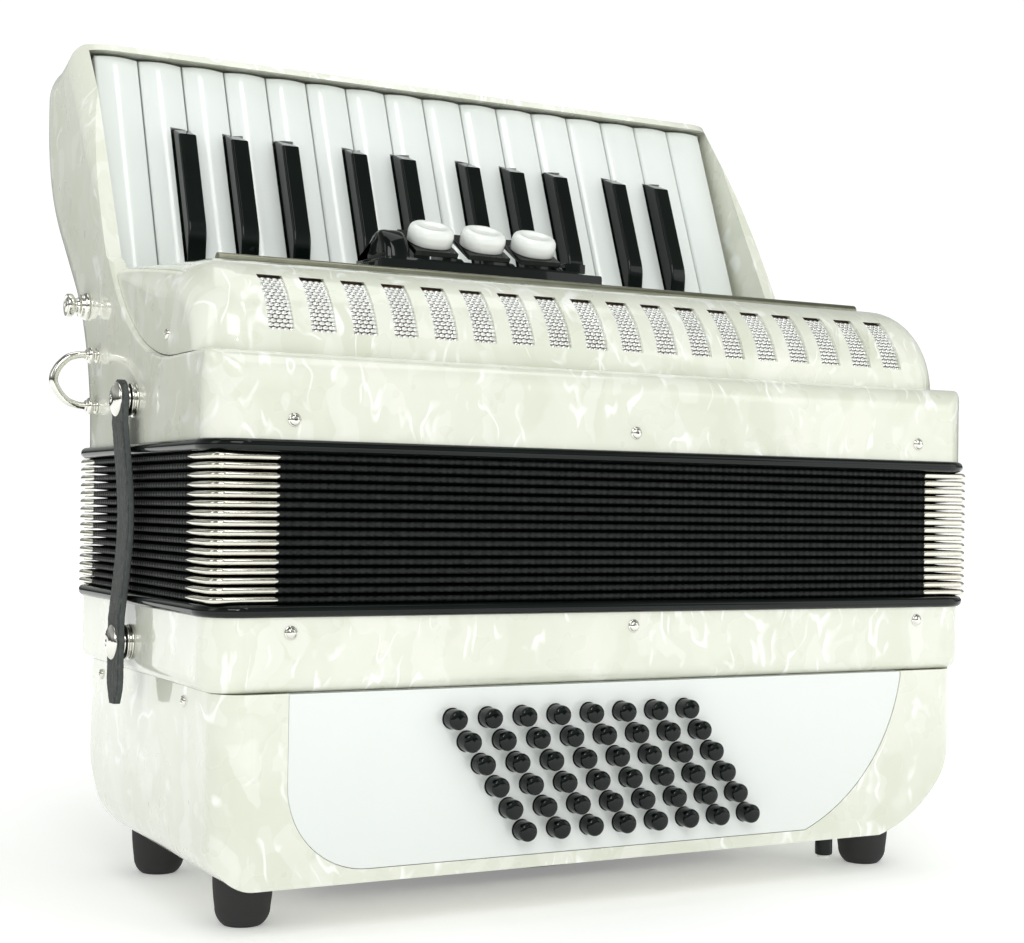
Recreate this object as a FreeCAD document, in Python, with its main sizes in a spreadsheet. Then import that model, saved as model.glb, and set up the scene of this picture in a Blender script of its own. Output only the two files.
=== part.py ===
"""Piano accordion: 26 keys, 48 bass buttons, 3 treble register switches.

The instrument stands on its bass end. X runs along the keyboard, -Y is the grille side
and +Y the player's side, +Z points from the bass end to the treble end. The origin lies
on the ground plane under the middle of the instrument. All sizes are in millimetres.
"""
import FreeCAD
import Part
import math
import os

Vector = FreeCAD.Vector
Rotation = FreeCAD.Rotation
Placement = FreeCAD.Placement
X_AXIS = Vector(1, 0, 0)
Y_AXIS = Vector(0, 1, 0)
Z_AXIS = Vector(0, 0, 1)

CELLS = {
    # casework
    "case_length": 321.0,
    "case_depth": 166.0,
    "case_middle": -34.0,
    "case_corner": 12.5,
    "case_wall": 6.0,
    "side_gap": 0.3,
    # bass section
    "shell_length": 313.0,
    "shell_depth": 165.0,
    "shell_bottom": 18.0,
    "shell_top": 82.0,
    "shell_wall": 5.0,
    "shell_corner": 12.0,
    "shell_end_radius": 56.0,
    "shell_end_centre": 72.0,
    "shell_left_radius": 13.0,
    "shell_back_radius": 62.0,
    "shell_back_centre": 78.0,
    "bass_frame_top": 107.0,
    "bass_frame_wall": 10.0,
    "foot_spread_x": 134.8,
    "foot_front": -82.0,
    "foot_back": 14.5,
    "foot_radius": 10.5,
    # bass button field
    "panel_front": -116.3,
    "panel_thickness": 3.0,
    "panel_left": -132.3,
    "panel_bottom": 22.6,
    "button_columns": 8.0,
    "button_rows": 6.0,
    "button_pitch": 13.6,
    "row_pitch": 8.0,
    "row_shift": 5.55,
    "first_button_x": -72.6,
    "first_button_z": 71.4,
    "button_radius": 3.5,
    "button_length": 6.5,
    "button_stem_radius": 1.2,
    "guide_front": -104.0,
    "air_button_x": 110.0,
    "air_button_y": -88.5,
    # bellows
    "bead_height": 4.2,
    "bead_proud": 1.8,
    "bead_width": 13.5,
    "fold_count": 16.0,
    "fold_pitch": 3.13,
    "fold_depth": 22.0,
    "fold_wall": 10.0,
    # treble section
    "treble_back": 46.0,
    "ledge_top": 195.0,
    "ledge_radius": 10.0,
    "shelf_front": -98.0,
    "back_radius": 16.0,
    "back_wall": 7.0,
    "overhang": 78.5,
    "treble_top": 335.3,
    "soundboard_bottom": 184.0,
    "soundboard_thickness": 6.0,
    # grille
    "grille_radius": 36.0,
    "grille_centre_y": -67.0,
    "grille_centre_z": 194.0,
    "grille_skin": 3.5,
    "grille_end_corner": 15.0,
    "grille_back_corner": 4.0,
    "grille_half_length": 159.0,
    "grille_end_wall": 8.0,
    "deck_slope": 3.0,
    "slot_count": 18.0,
    "slot_pitch": 15.5,
    "slot_width": 9.2,
    "slot_bottom": 203.0,
    "slot_top": 223.0,
    # keyboard
    "white_keys": 16.0,
    "white_pitch": 19.0,
    "key_gap": 0.6,
    "key_lean": 21.3,
    "key_end_y": 69.8,
    "key_end_z": 331.7,
    "white_length": 104.0,
    "white_thickness": 11.0,
    "key_crown": 1.3,
    "black_width": 7.8,
    "black_start": 33.0,
    "black_height": 7.5,
    "notch_gap": 0.7,
    "lever_width": 3.0,
    "axle_y": 36.6,
    "axle_z": 224.4,
    "axle_radius": 1.5,
    "bore_clearance": 0.06,
    # registers
    "register_count": 3.0,
    "register_pitch": 22.8,
    "register_first_x": -48.3,
    "register_tilt": 30.0,
    # straps and fittings
    "strap_width": 15.0,
    "strap_thickness": 3.0,
    "strap_y": -28.5,
    "strap_sag": 1.7,
    "upper_stud_z": 181.5,
    "lower_stud_z": 93.3,
    "stud_radius": 6.5,
    "stud_height": 3.4,
    "pin_x": 132.5,
    "bass_pin_z": 102.0,
    "treble_pin_z": 172.0,
    "shell_screw_z": 76.9,
    "grille_screw_y": -62.0,
    "grille_screw_z": 203.0,
    "knob_y": 40.0,
    "knob_z": 222.0,
    "loop_y": 23.5,
    "loop_low_z": 181.4,
    "loop_high_z": 201.3,
    # hand strap under the bass end
    "hand_strap_left": -113.0,
    "hand_strap_right": 107.0,
    "hand_strap_width": 60.0,
    "hand_strap_middle": -30.0,
    "hand_strap_thickness": 2.5,
    "plate_length": 12.0,
    "plate_width": 64.0,
    "plate_thickness": 2.0,
}

SHELL_SCREW_Y = (-80.5, 22.6)
PLATE_LEFT_EDGES = (-109.0, 91.0)
PLATE_SCREW_Y = (-50.0, -10.0)
REED_ROWS_Y = (-64.0, -34.0, -4.0)
BOARD_MIDDLE_Y = -36.0
TRIM_RIB_X = (-140.0, -132.0, -124.0)

# black keys follow these white keys, grouped as on any keyboard that starts on B
BLACK_GROUPS = ((2, 3, 4), (6, 7), (9, 10, 11), (13, 14))
BLACK_OFFSETS = {2: (-2.3, 2.3), 3: (-3.8, 0.0, 3.8)}

doc = FreeCAD.newDocument("accordion")
sheet = doc.addObject("Spreadsheet::Sheet", "sizes")
for row, (alias, value) in enumerate(CELLS.items(), start=1):
    sheet.set(f"A{row}", alias)
    sheet.set(f"B{row}", str(value))
    sheet.setAlias(f"B{row}", alias)
doc.recompute()

nodes = []


def size(alias):
    return float(sheet.get(alias))


def keep(thing, label):
    """Name an object as one finished sub-part."""
    thing.Label = label
    nodes.append(thing)
    return thing


def bind(thing, **expressions):
    """Tie properties of an object to the cells of the sheet."""
    for prop, text in expressions.items():
        thing.setExpression(prop, text)


# ---------------------------------------------------------------- drawing helpers

def line(a, b):
    return Part.LineSegment(Vector(*a, 0), Vector(*b, 0))


def arc(centre, radius, start, end):
    """Arc from start to end angle in degrees, anticlockwise."""
    circle = Part.Circle(Vector(*centre, 0), Z_AXIS, radius)
    return Part.ArcOfCircle(circle, math.radians(start), math.radians(end))


def arc_through(a, b, c):
    return Part.Arc(Vector(*a, 0), Vector(*b, 0), Vector(*c, 0))


def circle(centre, radius):
    return Part.Circle(Vector(*centre, 0), Z_AXIS, radius)


def polygon(points):
    return [line(a, b) for a, b in zip(points, points[1:] + points[:1])]


def on_circle(centre, radius, degrees):
    angle = math.radians(degrees)
    return (centre[0] + radius * math.cos(angle), centre[1] + radius * math.sin(angle))


FRONT_VIEW = Placement(Vector(0, 0, 0), Rotation(X_AXIS, 90))
SIDE_VIEW = Placement(Vector(0, 0, 0), Rotation(Vector(1, 1, 1), 120))


def free_sketch(name, geometry, placement):
    """A sketch outside any body, for an extrusion."""
    sketch = doc.addObject("Sketcher::SketchObject", name)
    sketch.addGeometry(geometry, False)
    sketch.Placement = placement
    return sketch


def extrusion(name, geometry, view, length, at=0.0, symmetric=True):
    """Extrude an outline square to its view, by a length given as a sheet expression."""
    normal = view.Rotation.multVec(Z_AXIS)
    placement = Placement(normal * at, view.Rotation)
    block = doc.addObject("Part::Extrusion", name)
    block.Base = free_sketch(name + "_outline", geometry, placement)
    block.DirMode = "Normal"
    block.Solid = True
    block.Symmetric = symmetric
    bind(block, LengthFwd=length)
    doc.recompute()
    return block


def cut(name, base, tool):
    result = doc.addObject("Part::Cut", name)
    result.Base = base
    result.Tool = tool
    return result


def fuse(name, shapes):
    result = doc.addObject("Part::MultiFuse", name)
    result.Shapes = shapes
    return result


def group(name, shapes):
    """Several separate solids that make one sub-part."""
    result = doc.addObject("Part::Compound", name)
    result.Links = shapes
    return result


def box(name, length, width, height, corner):
    """A box from its lowest corner; the sizes are sheet expressions or numbers."""
    block = doc.addObject("Part::Box", name)
    for prop, value in (("Length", length), ("Width", width), ("Height", height)):
        if isinstance(value, str):
            block.setExpression(prop, value)
        else:
            setattr(block, prop, value)
    block.Placement = Placement(Vector(*corner), Rotation())
    return block


def cylinder(name, radius, height, base, direction):
    post = doc.addObject("Part::Cylinder", name)
    for prop, value in (("Radius", radius), ("Height", height)):
        if isinstance(value, str):
            post.setExpression(prop, value)
        else:
            setattr(post, prop, value)
    post.Placement = Placement(Vector(*base), Rotation(Z_AXIS, direction))
    return post


def new_body(name):
    body = doc.addObject("PartDesign::Body", name)
    body.AllowCompound = True
    return body


def body_sketch(body, role, name, geometry, shift=(0.0, 0.0, 0.0)):
    """A sketch on one of the body's own origin planes, shifted in the sketch's own axes."""
    plane = next(item for item in body.Origin.OriginFeatures if item.Role == role)
    sketch = body.newObject("Sketcher::SketchObject", name)
    sketch.AttachmentSupport = [(plane, "")]
    sketch.MapMode = "FlatFace"
    sketch.AttachmentOffset = Placement(Vector(*shift), Rotation())
    sketch.addGeometry(geometry, False)
    return sketch


def pad(body, sketch, length, middle=False, reverse=False):
    feature = body.newObject("PartDesign::Pad", sketch.Name + "_pad")
    feature.Profile = sketch
    feature.Midplane = middle
    feature.Reversed = reverse
    bind(feature, Length=length)
    doc.recompute()
    return feature


def pocket(body, sketch, length, middle=False, reverse=False):
    feature = body.newObject("PartDesign::Pocket", sketch.Name + "_pocket")
    feature.Profile = sketch
    feature.Midplane = middle
    feature.Reversed = reverse
    bind(feature, Length=length)
    doc.recompute()
    if feature.Shape.Volume >= feature.BaseFeature.Shape.Volume - 1e-6:
        raise RuntimeError(feature.Name + " removes nothing")
    return feature


def round_edges(body, base, radius, chosen):
    names = edge_names(base.Shape, chosen)
    feature = body.newObject("PartDesign::Fillet", base.Name + "_round")
    feature.Base = (base, names)
    bind(feature, Radius=radius)
    doc.recompute()
    return feature


def edge_names(shape, chosen):
    names = [f"Edge{i}" for i, edge in enumerate(shape.Edges, 1) if chosen(edge)]
    if not names:
        raise RuntimeError("no edge was chosen")
    return names


def is_vertical(edge):
    bounds = edge.BoundBox
    return max(bounds.XLength, bounds.YLength) < 1e-3


def rectangle(x_size, y_size, centre=(0.0, 0.0)):
    x, y = centre
    return polygon([(x - x_size / 2, y - y_size / 2), (x + x_size / 2, y - y_size / 2),
                    (x + x_size / 2, y + y_size / 2), (x - x_size / 2, y + y_size / 2)])


# ---------------------------------------------------------------- bass casework

def lower_turn(edge, radius, centre_z, bottom):
    """Where a big round corner meets the flat bottom: its centre across, its sweep and its foot."""
    centre = edge - radius
    sweep = math.degrees(math.asin((centre_z - bottom) / radius))
    return centre, sweep, on_circle((centre, centre_z), radius, -sweep)[0]


def shell_outline(inset, top):
    """Front view of the bass shell: tight lower left corner, big round lower right corner."""
    half = size("shell_length") / 2 - inset
    bottom = size("shell_bottom") + inset
    radius = size("shell_end_radius") - inset
    tight = size("shell_left_radius") - inset
    centre_z = size("shell_end_centre")
    centre_x, sweep, foot_x = lower_turn(half, radius, centre_z, bottom)
    return [
        line((-half, top), (half, top)),
        line((half, top), (half, centre_z)),
        arc((centre_x, centre_z), radius, -sweep, 0),
        line((foot_x, bottom), (tight - half, bottom)),
        arc((tight - half, bottom + tight), tight, 180, 270),
        line((-half, bottom + tight), (-half, top)),
    ]


def shell_side_outline(inset, top):
    """Side view of the bass shell: upright front and a long curve from the back to the bottom."""
    front = size("case_middle") - size("shell_depth") / 2 + inset
    back = size("case_middle") + size("shell_depth") / 2 - inset
    bottom = size("shell_bottom") + inset
    radius = size("shell_back_radius") - inset
    centre_z = size("shell_back_centre")
    centre_y, sweep, foot_y = lower_turn(back, radius, centre_z, bottom)
    return [
        line((front, top), (back, top)),
        line((back, top), (back, centre_z)),
        arc((centre_y, centre_z), radius, -sweep, 0),
        line((foot_y, bottom), (front, bottom)),
        line((front, bottom), (front, top)),
    ]


def shell_prisms(name, inset, top):
    """Front and side outlines of the shell, drawn out across each other."""
    depth = f"sizes.shell_depth - {2 * inset}"
    length = f"sizes.shell_length - {2 * inset}"
    middle = -size("case_middle")
    front = extrusion(name + "_front", shell_outline(inset, top), FRONT_VIEW, depth, at=middle)
    side = extrusion(name + "_side", shell_side_outline(inset, top), SIDE_VIEW, length)
    return [front, side]


def common(name, shapes):
    result = doc.addObject("Part::MultiCommon", name)
    result.Shapes = shapes
    return result


def panel_outline(margin, top):
    """White button panel: straight left side, round lower left, long curve at the right."""
    left = size("panel_left") - margin
    bottom = size("panel_bottom") - margin
    turn = 29.0 + margin
    right_foot = (79.0, bottom)
    right_middle = (112.0 + margin, 48.5 - margin)
    right_shoulder = (125.0 + margin, 80.0)
    return [
        line((left, top), (left, bottom + turn)),
        arc((left + turn, bottom + turn), turn, 180, 270),
        line((left + turn, bottom), right_foot),
        arc_through(right_foot, right_middle, right_shoulder),
        line(right_shoulder, (right_shoulder[0], top)),
        line((right_shoulder[0], top), (left, top)),
    ]


def button_places():
    """Centres of the bass buttons, row by row from the top."""
    rows = []
    for row_index in range(int(size("button_rows"))):
        x = size("first_button_x") + size("row_shift") * row_index
        z = size("first_button_z") - size("row_pitch") * row_index
        rows.append([(x + size("button_pitch") * i, z) for i in range(int(size("button_columns")))])
    return rows


def bass_shell():
    """Open tub with rounded upright corners and the panel recess in front; returns its solid form."""
    plan = new_body("shell_plan")
    footprint = rectangle(size("shell_length"), size("shell_depth"), (0.0, size("case_middle")))
    tall = pad(plan, body_sketch(plan, "XY_Plane", "shell_footprint", footprint), "sizes.shell_top")
    round_edges(plan, tall, "sizes.shell_corner", is_vertical)
    form = common("shell_form", [plan] + shell_prisms("shell_outer", 0.0, size("shell_top")))
    above = size("shell_top") + 8.0
    hollow = common("shell_hollow", shell_prisms("shell_inner", size("shell_wall"), above))
    front = size("case_middle") - size("shell_depth") / 2
    recess = extrusion("panel_recess", panel_outline(0.2, above), FRONT_VIEW,
                       "2 * (sizes.panel_thickness + 0.2)", at=-front)
    window_x, window_z = (-88.0, 68.0), (25.5, 79.5)
    window = box("panel_window", window_x[1] - window_x[0], 20.0, window_z[1] - window_z[0],
                 (window_x[0], front - 10, window_z[0]))
    air_hole = cylinder("air_hole", "sizes.button_radius + 0.3", 20.0,
                        (size("air_button_x"), size("air_button_y"), 10.0), Z_AXIS)
    openings = fuse("shell_openings", [hollow, recess, window, air_hole])
    keep(cut("bass_shell", form, openings), "bass_shell")
    return form


def bass_button_panel():
    body = new_body("bass_button_panel")
    front = -size("panel_front")
    outline = panel_outline(0, size("shell_top") - 0.2)
    plate = body_sketch(body, "XZ_Plane", "panel_face", outline, (0, 0, front))
    pad(body, plate, "sizes.panel_thickness", reverse=True)
    bore = size("button_radius") + 0.25
    holes = [circle(place, bore) for row in button_places() for place in row]
    drill = body_sketch(body, "XZ_Plane", "panel_holes", holes, (0, 0, front))
    pocket(body, drill, "sizes.panel_thickness")
    keep(body, "bass_button_panel")


def bass_buttons():
    """Six rows of eight; each row is one sub-part of separate buttons."""
    names = ("counterbass", "fundamental", "major", "minor", "seventh", "diminished")
    radius = size("button_radius")
    stem = size("button_stem_radius")
    front = size("panel_front") - size("button_length")
    back = size("panel_front") + size("panel_thickness")
    stem_end = -92.0
    edge = 0.9
    profile = [
        line((0, front), (radius - edge, front)),
        arc((radius - edge, front + edge), edge, -90, 0),
        line((radius, front + edge), (radius, back)),
        line((radius, back), (stem, back)),
        line((stem, back), (stem, stem_end)),
        line((stem, stem_end), (0, stem_end)),
        line((0, stem_end), (0, front)),
    ]
    for name, places in zip(names, button_places()):
        body = new_body(name + "_buttons")
        x, z = places[0]
        sketch = body_sketch(body, "XY_Plane", name + "_profile", profile, (x, 0, z))
        turned = body.newObject("PartDesign::Revolution", name + "_turned")
        turned.Profile = sketch
        turned.ReferenceAxis = (sketch, ["V_Axis"])
        turned.Angle = 360
        doc.recompute()
        repeat = body.newObject("PartDesign::LinearPattern", name + "_pattern")
        repeat.Originals = [turned]
        x_line = next(item for item in body.Origin.OriginFeatures if item.Role == "X_Axis")
        repeat.Direction = (x_line, [""])
        repeat.Mode = "Spacing"
        bind(repeat, Offset="sizes.button_pitch", Occurrences="sizes.button_columns")
        body.Tip = repeat
        keep(body, name + "_buttons")


def bass_stem_guide():
    """Plate behind the panel that guides the button stems."""
    body = new_body("bass_stem_guide")
    front = -size("guide_front")
    floor = size("shell_bottom") + size("shell_wall")
    top = 79.0
    length, middle, thick = 152.0, -11.0, "3 mm"
    outline = rectangle(length, top - floor, (middle, (top + floor) / 2))
    pad(body, body_sketch(body, "XZ_Plane", "guide_face", outline, (0, 0, front)), thick, reverse=True)
    bore = size("button_stem_radius") + size("bore_clearance")
    holes = [circle(place, bore) for row in button_places() for place in row]
    drill = body_sketch(body, "XZ_Plane", "guide_holes", holes, (0, 0, front))
    pocket(body, drill, thick)
    keep(body, "bass_stem_guide")


def ring_body(name, length, depth, wall, low, height, corner):
    """A rectangular frame with rounded vertical corners, as a body and its last feature."""
    body = new_body(name)
    middle = (0.0, size("case_middle"))
    outer = body_sketch(body, "XY_Plane", name + "_outer", rectangle(length, depth, middle), (0, 0, low))
    block = pad(body, outer, height)
    round_edges(body, block, corner, is_vertical)
    hole = rectangle(length - 2 * wall, depth - 2 * wall, middle)
    inner = body_sketch(body, "XY_Plane", name + "_inner", hole, (0, 0, low))
    opened = pocket(body, inner, height, reverse=True)
    return body, opened


def bass_frame():
    half = size("case_length") / 2
    low = size("shell_top")
    body, opened = ring_body("bass_frame", size("case_length"), size("case_depth"),
                             size("bass_frame_wall"), low,
                             "sizes.bass_frame_top - sizes.shell_top", "sizes.case_corner")

    def is_lower_end(edge):
        bounds = edge.BoundBox
        return (abs(abs(bounds.XMax + bounds.XMin) / 2 - half) < 1e-3
                and bounds.YLength > 50 and abs(bounds.ZMax - low) < 1e-3)

    round_edges(body, opened, "5 mm", is_lower_end)
    keep(body, "bass_frame")


def bead_frame(name, low):
    """Moulding that carries one end of the bellows; it stands proud as a rounded bead."""
    length = size("case_length") + 2 * size("bead_proud")
    depth = size("case_depth") + 2 * size("bead_proud")
    body, opened = ring_body(name, length, depth, size("bead_width"), low,
                             "sizes.bead_height", "sizes.case_corner + sizes.bead_proud")
    edge_radius = size("bead_height") / 2 - 0.1

    def is_outer_rim(edge):
        bounds = edge.BoundBox
        flat = bounds.ZLength < 1e-3
        x_far = max(abs(bounds.XMax), abs(bounds.XMin)) > length / 2 - size("bead_width") + 1e-3
        y_far = max(abs(bounds.YMax - size("case_middle")),
                    abs(bounds.YMin - size("case_middle"))) > depth / 2 - size("bead_width") + 1e-3
        return flat and (x_far or y_far)

    round_edges(body, opened, f"{edge_radius} mm", is_outer_rim)
    keep(body, name)


def feet(shell_form):
    """Four tapered rubber feet, cut to sit against the shell."""
    radius = size("foot_radius")
    tip = 6.6
    waist = (radius - 0.9, 6.0)
    shoulder = (radius, 17.0)
    top = 42.0
    profile = [
        line((0, 0), (tip, 0)),
        arc_through((tip, 0), (8.4, 1.9), waist),
        arc_through(waist, (radius - 0.3, 11.0), shoulder),
        line(shoulder, (radius, top)),
        line((radius, top), (0, top)),
        line((0, top), (0, 0)),
    ]
    posts = []
    for x in (-size("foot_spread_x"), size("foot_spread_x")):
        for y in (size("foot_front"), size("foot_back")):
            body = new_body("foot_post")
            sketch = body_sketch(body, "XZ_Plane", "foot_profile", profile)
            turned = body.newObject("PartDesign::Revolution", "foot_turned")
            turned.Profile = sketch
            turned.ReferenceAxis = (sketch, ["V_Axis"])
            turned.Angle = 360
            body.Placement = Placement(Vector(x, y, 0), Rotation())
            posts.append(body)
    keep(cut("bass_feet", group("foot_posts", posts), shell_form), "bass_feet")


def hand_strap():
    """Leather strap for the left hand, lying under the bass end."""
    top = size("shell_bottom")
    thick = size("hand_strap_thickness")
    left, right = size("hand_strap_left"), size("hand_strap_right")
    held = 20.0
    inner_left, inner_right = left + held, right - held
    sag_x, sag_z = (left + right) / 2, 7.0
    outline = [
        line((left, top), (inner_left, top)),
        arc_through((inner_left, top), (sag_x, sag_z), (inner_right, top)),
        line((inner_right, top), (right, top)),
        line((right, top), (right, top - thick)),
        line((right, top - thick), (inner_right, top - thick)),
        arc_through((inner_right, top - thick), (sag_x, sag_z - thick), (inner_left, top - thick)),
        line((inner_left, top - thick), (left, top - thick)),
        line((left, top - thick), (left, top)),
    ]
    band = extrusion("hand_strap", outline, FRONT_VIEW, "sizes.hand_strap_width",
                     at=-size("hand_strap_middle"))
    keep(band, "hand_strap")


def screw(name, at, direction, radius=2.3, height=1.5):
    """A domed screw head standing on a face."""
    body = new_body(name)
    dome = (height ** 2 + radius ** 2) / (2 * height)
    low = math.degrees(math.asin((dome - height) / dome))
    profile = [
        line((0, 0), (radius, 0)),
        arc((0, height - dome), dome, low, 90),
        line((0, height), (0, 0)),
    ]
    sketch = body_sketch(body, "XZ_Plane", name + "_profile", profile)
    turned = body.newObject("PartDesign::Revolution", name + "_turned")
    turned.Profile = sketch
    turned.ReferenceAxis = (sketch, ["V_Axis"])
    turned.Angle = 360
    body.Placement = Placement(Vector(*at), Rotation(Z_AXIS, direction))
    return body


def face_pins(name, z, front, back):
    """The row of pins that hold a casework frame to the bellows, front and back."""
    pins = []
    for x in (-size("pin_x"), 0.0, size("pin_x")):
        pins.append(screw(name, (x, front, z), -Y_AXIS))
        pins.append(screw(name, (x, back, z), Y_AXIS))
    return pins


def strap_studs(name, z):
    """Round bases that the bellows straps snap onto, one on each end of the case."""
    half = size("case_length") / 2
    studs = []
    for side in (-1, 1):
        base = (side * half, size("strap_y"), z)
        studs.append(cylinder(name, "sizes.stud_radius", "sizes.stud_height", base, X_AXIS * side))
    return studs


def bass_fittings():
    half_shell = size("shell_length") / 2
    case_front = size("case_middle") - size("case_depth") / 2
    case_back = size("case_middle") + size("case_depth") / 2
    pieces = face_pins("bass_pin", size("bass_pin_z"), case_front, case_back)
    pieces += strap_studs("lower_stud", size("lower_stud_z"))
    for side in (-1, 1):
        for y in SHELL_SCREW_Y:
            at = (side * half_shell, y, size("shell_screw_z"))
            pieces.append(screw("shell_screw", at, X_AXIS * side, 2.0, 1.2))
    plate_low = size("shell_bottom") - size("hand_strap_thickness") - size("plate_thickness")
    plate_front = size("hand_strap_middle") - size("plate_width") / 2
    for x in PLATE_LEFT_EDGES:
        pieces.append(box("strap_plate", "sizes.plate_length", "sizes.plate_width",
                          "sizes.plate_thickness", (x, plate_front, plate_low)))
        for y in PLATE_SCREW_Y:
            at = (x + size("plate_length") / 2, y, plate_low)
            pieces.append(screw("plate_screw", at, -Z_AXIS, 2.4, 1.4))
    keep(group("bass_fittings", pieces), "bass_fittings")


def air_button():
    """Air release button with a light tip; its stem goes up to the air valve."""
    x, y = size("air_button_x"), size("air_button_y")
    tip = cylinder("air_tip", 2.4, 1.6, (x, y, 4.4), Z_AXIS)
    knob = cylinder("air_knob", "sizes.button_radius", 15.0, (x, y, 6.0), Z_AXIS)
    stem = cylinder("air_stem", "sizes.button_stem_radius", 30.0, (x, y, 21.0), Z_AXIS)
    valve = cylinder("air_valve", 9.0, 2.0, (x, y, 51.0), Z_AXIS)
    keep(fuse("air_button", [tip, knob, stem, valve]), "air_button")


# ---------------------------------------------------------------- reeds and bellows

def reed_unit(name, plate, blocks):
    """Reed blocks with their reed plates, as separate solids."""
    pieces = [plate] if plate else []
    length, width, height, low = blocks
    plate_thick, end_margin, top_margin = 0.8, 3.0, 4.0
    for y in REED_ROWS_Y:
        pieces.append(box(name + "_block", length, width, height, (-length / 2, y - width / 2, low)))
        for side in (-1, 1):
            face = y + side * width / 2 - (plate_thick if side < 0 else 0.0)
            corner = (end_margin - length / 2, face, low + top_margin)
            pieces.append(box(name + "_plates", length - 2 * end_margin, plate_thick,
                              height - 2 * top_margin, corner))
    keep(group(name, pieces), name)


def slotted_board(name, length, depth, low, thickness, slots):
    body = new_body(name)
    outline = rectangle(length, depth, (0, BOARD_MIDDLE_Y))
    board = body_sketch(body, "XY_Plane", name + "_outline", outline, (0, 0, low))
    pad(body, board, thickness)
    holes = [edge for centre in slots for edge in rectangle(6.0, 12.0, centre)]
    cuts = body_sketch(body, "XY_Plane", name + "_slots", holes, (0, 0, low))
    pocket(body, cuts, thickness, reverse=True)
    return body


def bass_reeds():
    low = 99.0
    slot_count, slot_pitch = 12, 15.0
    first_slot = -slot_pitch * (slot_count - 1) / 2
    slots = [(first_slot + slot_pitch * i, y) for i in range(slot_count) for y in REED_ROWS_Y]
    board = slotted_board("bass_soundboard", 298.0, 138.0, low, "6 mm", slots)
    reed_unit("bass_reed_unit", board, (200.0, 16.0, 32.0, low + 6.0))


def bellows_section(inset, z):
    """One rectangular ring of the bellows with small rounded corners, as a closed wire."""
    half_x = size("case_length") / 2 - inset
    half_y = size("case_depth") / 2 - 0.8 - inset
    corner = 4.0
    mid = size("case_middle")
    points = [(half_x - corner, half_y), (half_x, half_y - corner)]
    right = points + [(x, -y) for x, y in reversed(points)]
    outline = right + [(-x, y) for x, y in reversed(right)]
    corners = [Vector(x, y + mid, z) for x, y in outline]
    return Part.makePolygon(corners + corners[:1])


def bellows_folds():
    """Sixteen pleats between the two bead frames, folded shut."""
    low = size("bass_frame_top") + size("bead_height")
    pitch = size("fold_pitch")
    deep = size("fold_depth")
    wall = size("fold_wall")
    count = int(size("fold_count"))
    insets = [deep if i % 2 == 0 else 0.0 for i in range(2 * count + 1)]
    heights = [low + pitch / 2 * i for i in range(2 * count + 1)]
    outer = Part.makeLoft([bellows_section(a, z) for a, z in zip(insets, heights)], True, True)
    inner = Part.makeLoft([bellows_section(a + wall, z) for a, z in zip(insets, heights)], True, True)
    folds = doc.addObject("Part::Feature", "bellows_folds")
    folds.Shape = outer.cut(inner)
    keep(folds, "bellows_folds")


def bellows_top():
    folds = size("fold_count") * size("fold_pitch")
    return size("bass_frame_top") + size("bead_height") + folds


# ---------------------------------------------------------------- treble casework

LEAN_OUT = 47.0
LOWER_BEND = 84.0
UPPER_BEND = 80.0
CREST_BEND = 17.0
BEND_START = 166.0


def back_profile(inset, top_inset, low):
    """Player's side of the treble case from the bellows up to the crest, as sketch edges.

    It leaves the bellows upright, leans out behind the keyboard and turns upright again.
    """
    lean = math.radians(LEAN_OUT)
    start_y = size("treble_back") - inset
    far_y = start_y + size("overhang")
    lower = LOWER_BEND + inset
    upper = UPPER_BEND - inset
    crest = CREST_BEND - inset
    top = size("treble_top") - top_inset
    lower_centre = (start_y + lower, BEND_START)
    lower_end = on_circle(lower_centre, lower, 180 - LEAN_OUT)
    upper_start_y = far_y - upper * (1 - math.cos(lean))
    rise = (upper_start_y - lower_end[0]) / math.tan(lean)
    upper_start = (upper_start_y, lower_end[1] + rise)
    upper_centre = (far_y - upper, upper_start[1] + upper * math.sin(lean))
    crest_centre = (far_y - crest, top - crest)
    edges = [
        line((start_y, low), (start_y, BEND_START)),
        arc(lower_centre, lower, 180 - LEAN_OUT, 180),
        line(lower_end, upper_start),
        arc(upper_centre, upper, -LEAN_OUT, 0),
        line((far_y, upper_centre[1]), (far_y, crest_centre[1])),
        arc(crest_centre, crest, 0, 90),
    ]
    return edges, (crest_centre[0], top)


SIDE_ARC_CENTRE = (-72.0, 293.0)
SIDE_ARC_RADIUS = 98.0
SIDE_ARC_END = -35.4
CHEEK_FOOT = (13.5, 239.0)
CHEEK_TOP = (63.5, 331.0)
CHEEK_NOSE = 3.4


def treble_low():
    return bellows_top() + size("bead_height")


def case_front():
    return size("case_middle") - size("case_depth") / 2


def treble_outline():
    """Side view of the treble case."""
    low = treble_low()
    front = case_front()
    ledge = size("ledge_top")
    turn = size("ledge_radius")
    back, crest_end = back_profile(0.0, 0.0, low)
    arc_end = on_circle(SIDE_ARC_CENTRE, SIDE_ARC_RADIUS, SIDE_ARC_END)
    arc_start = on_circle(SIDE_ARC_CENTRE, SIDE_ARC_RADIUS, -90)
    nose = (CHEEK_TOP[0] + CHEEK_NOSE, size("treble_top"))
    return back + [
        line(crest_end, nose),
        line(nose, CHEEK_TOP),
        line(CHEEK_TOP, CHEEK_FOOT),
        line(CHEEK_FOOT, arc_end),
        arc(SIDE_ARC_CENTRE, SIDE_ARC_RADIUS, -90, SIDE_ARC_END),
        line(arc_start, (front + turn, ledge)),
        arc((front + turn, ledge - turn), turn, 90, 180),
        line((front, ledge - turn), (front, low)),
        line((front, low), (size("treble_back"), low)),
    ]


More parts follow.
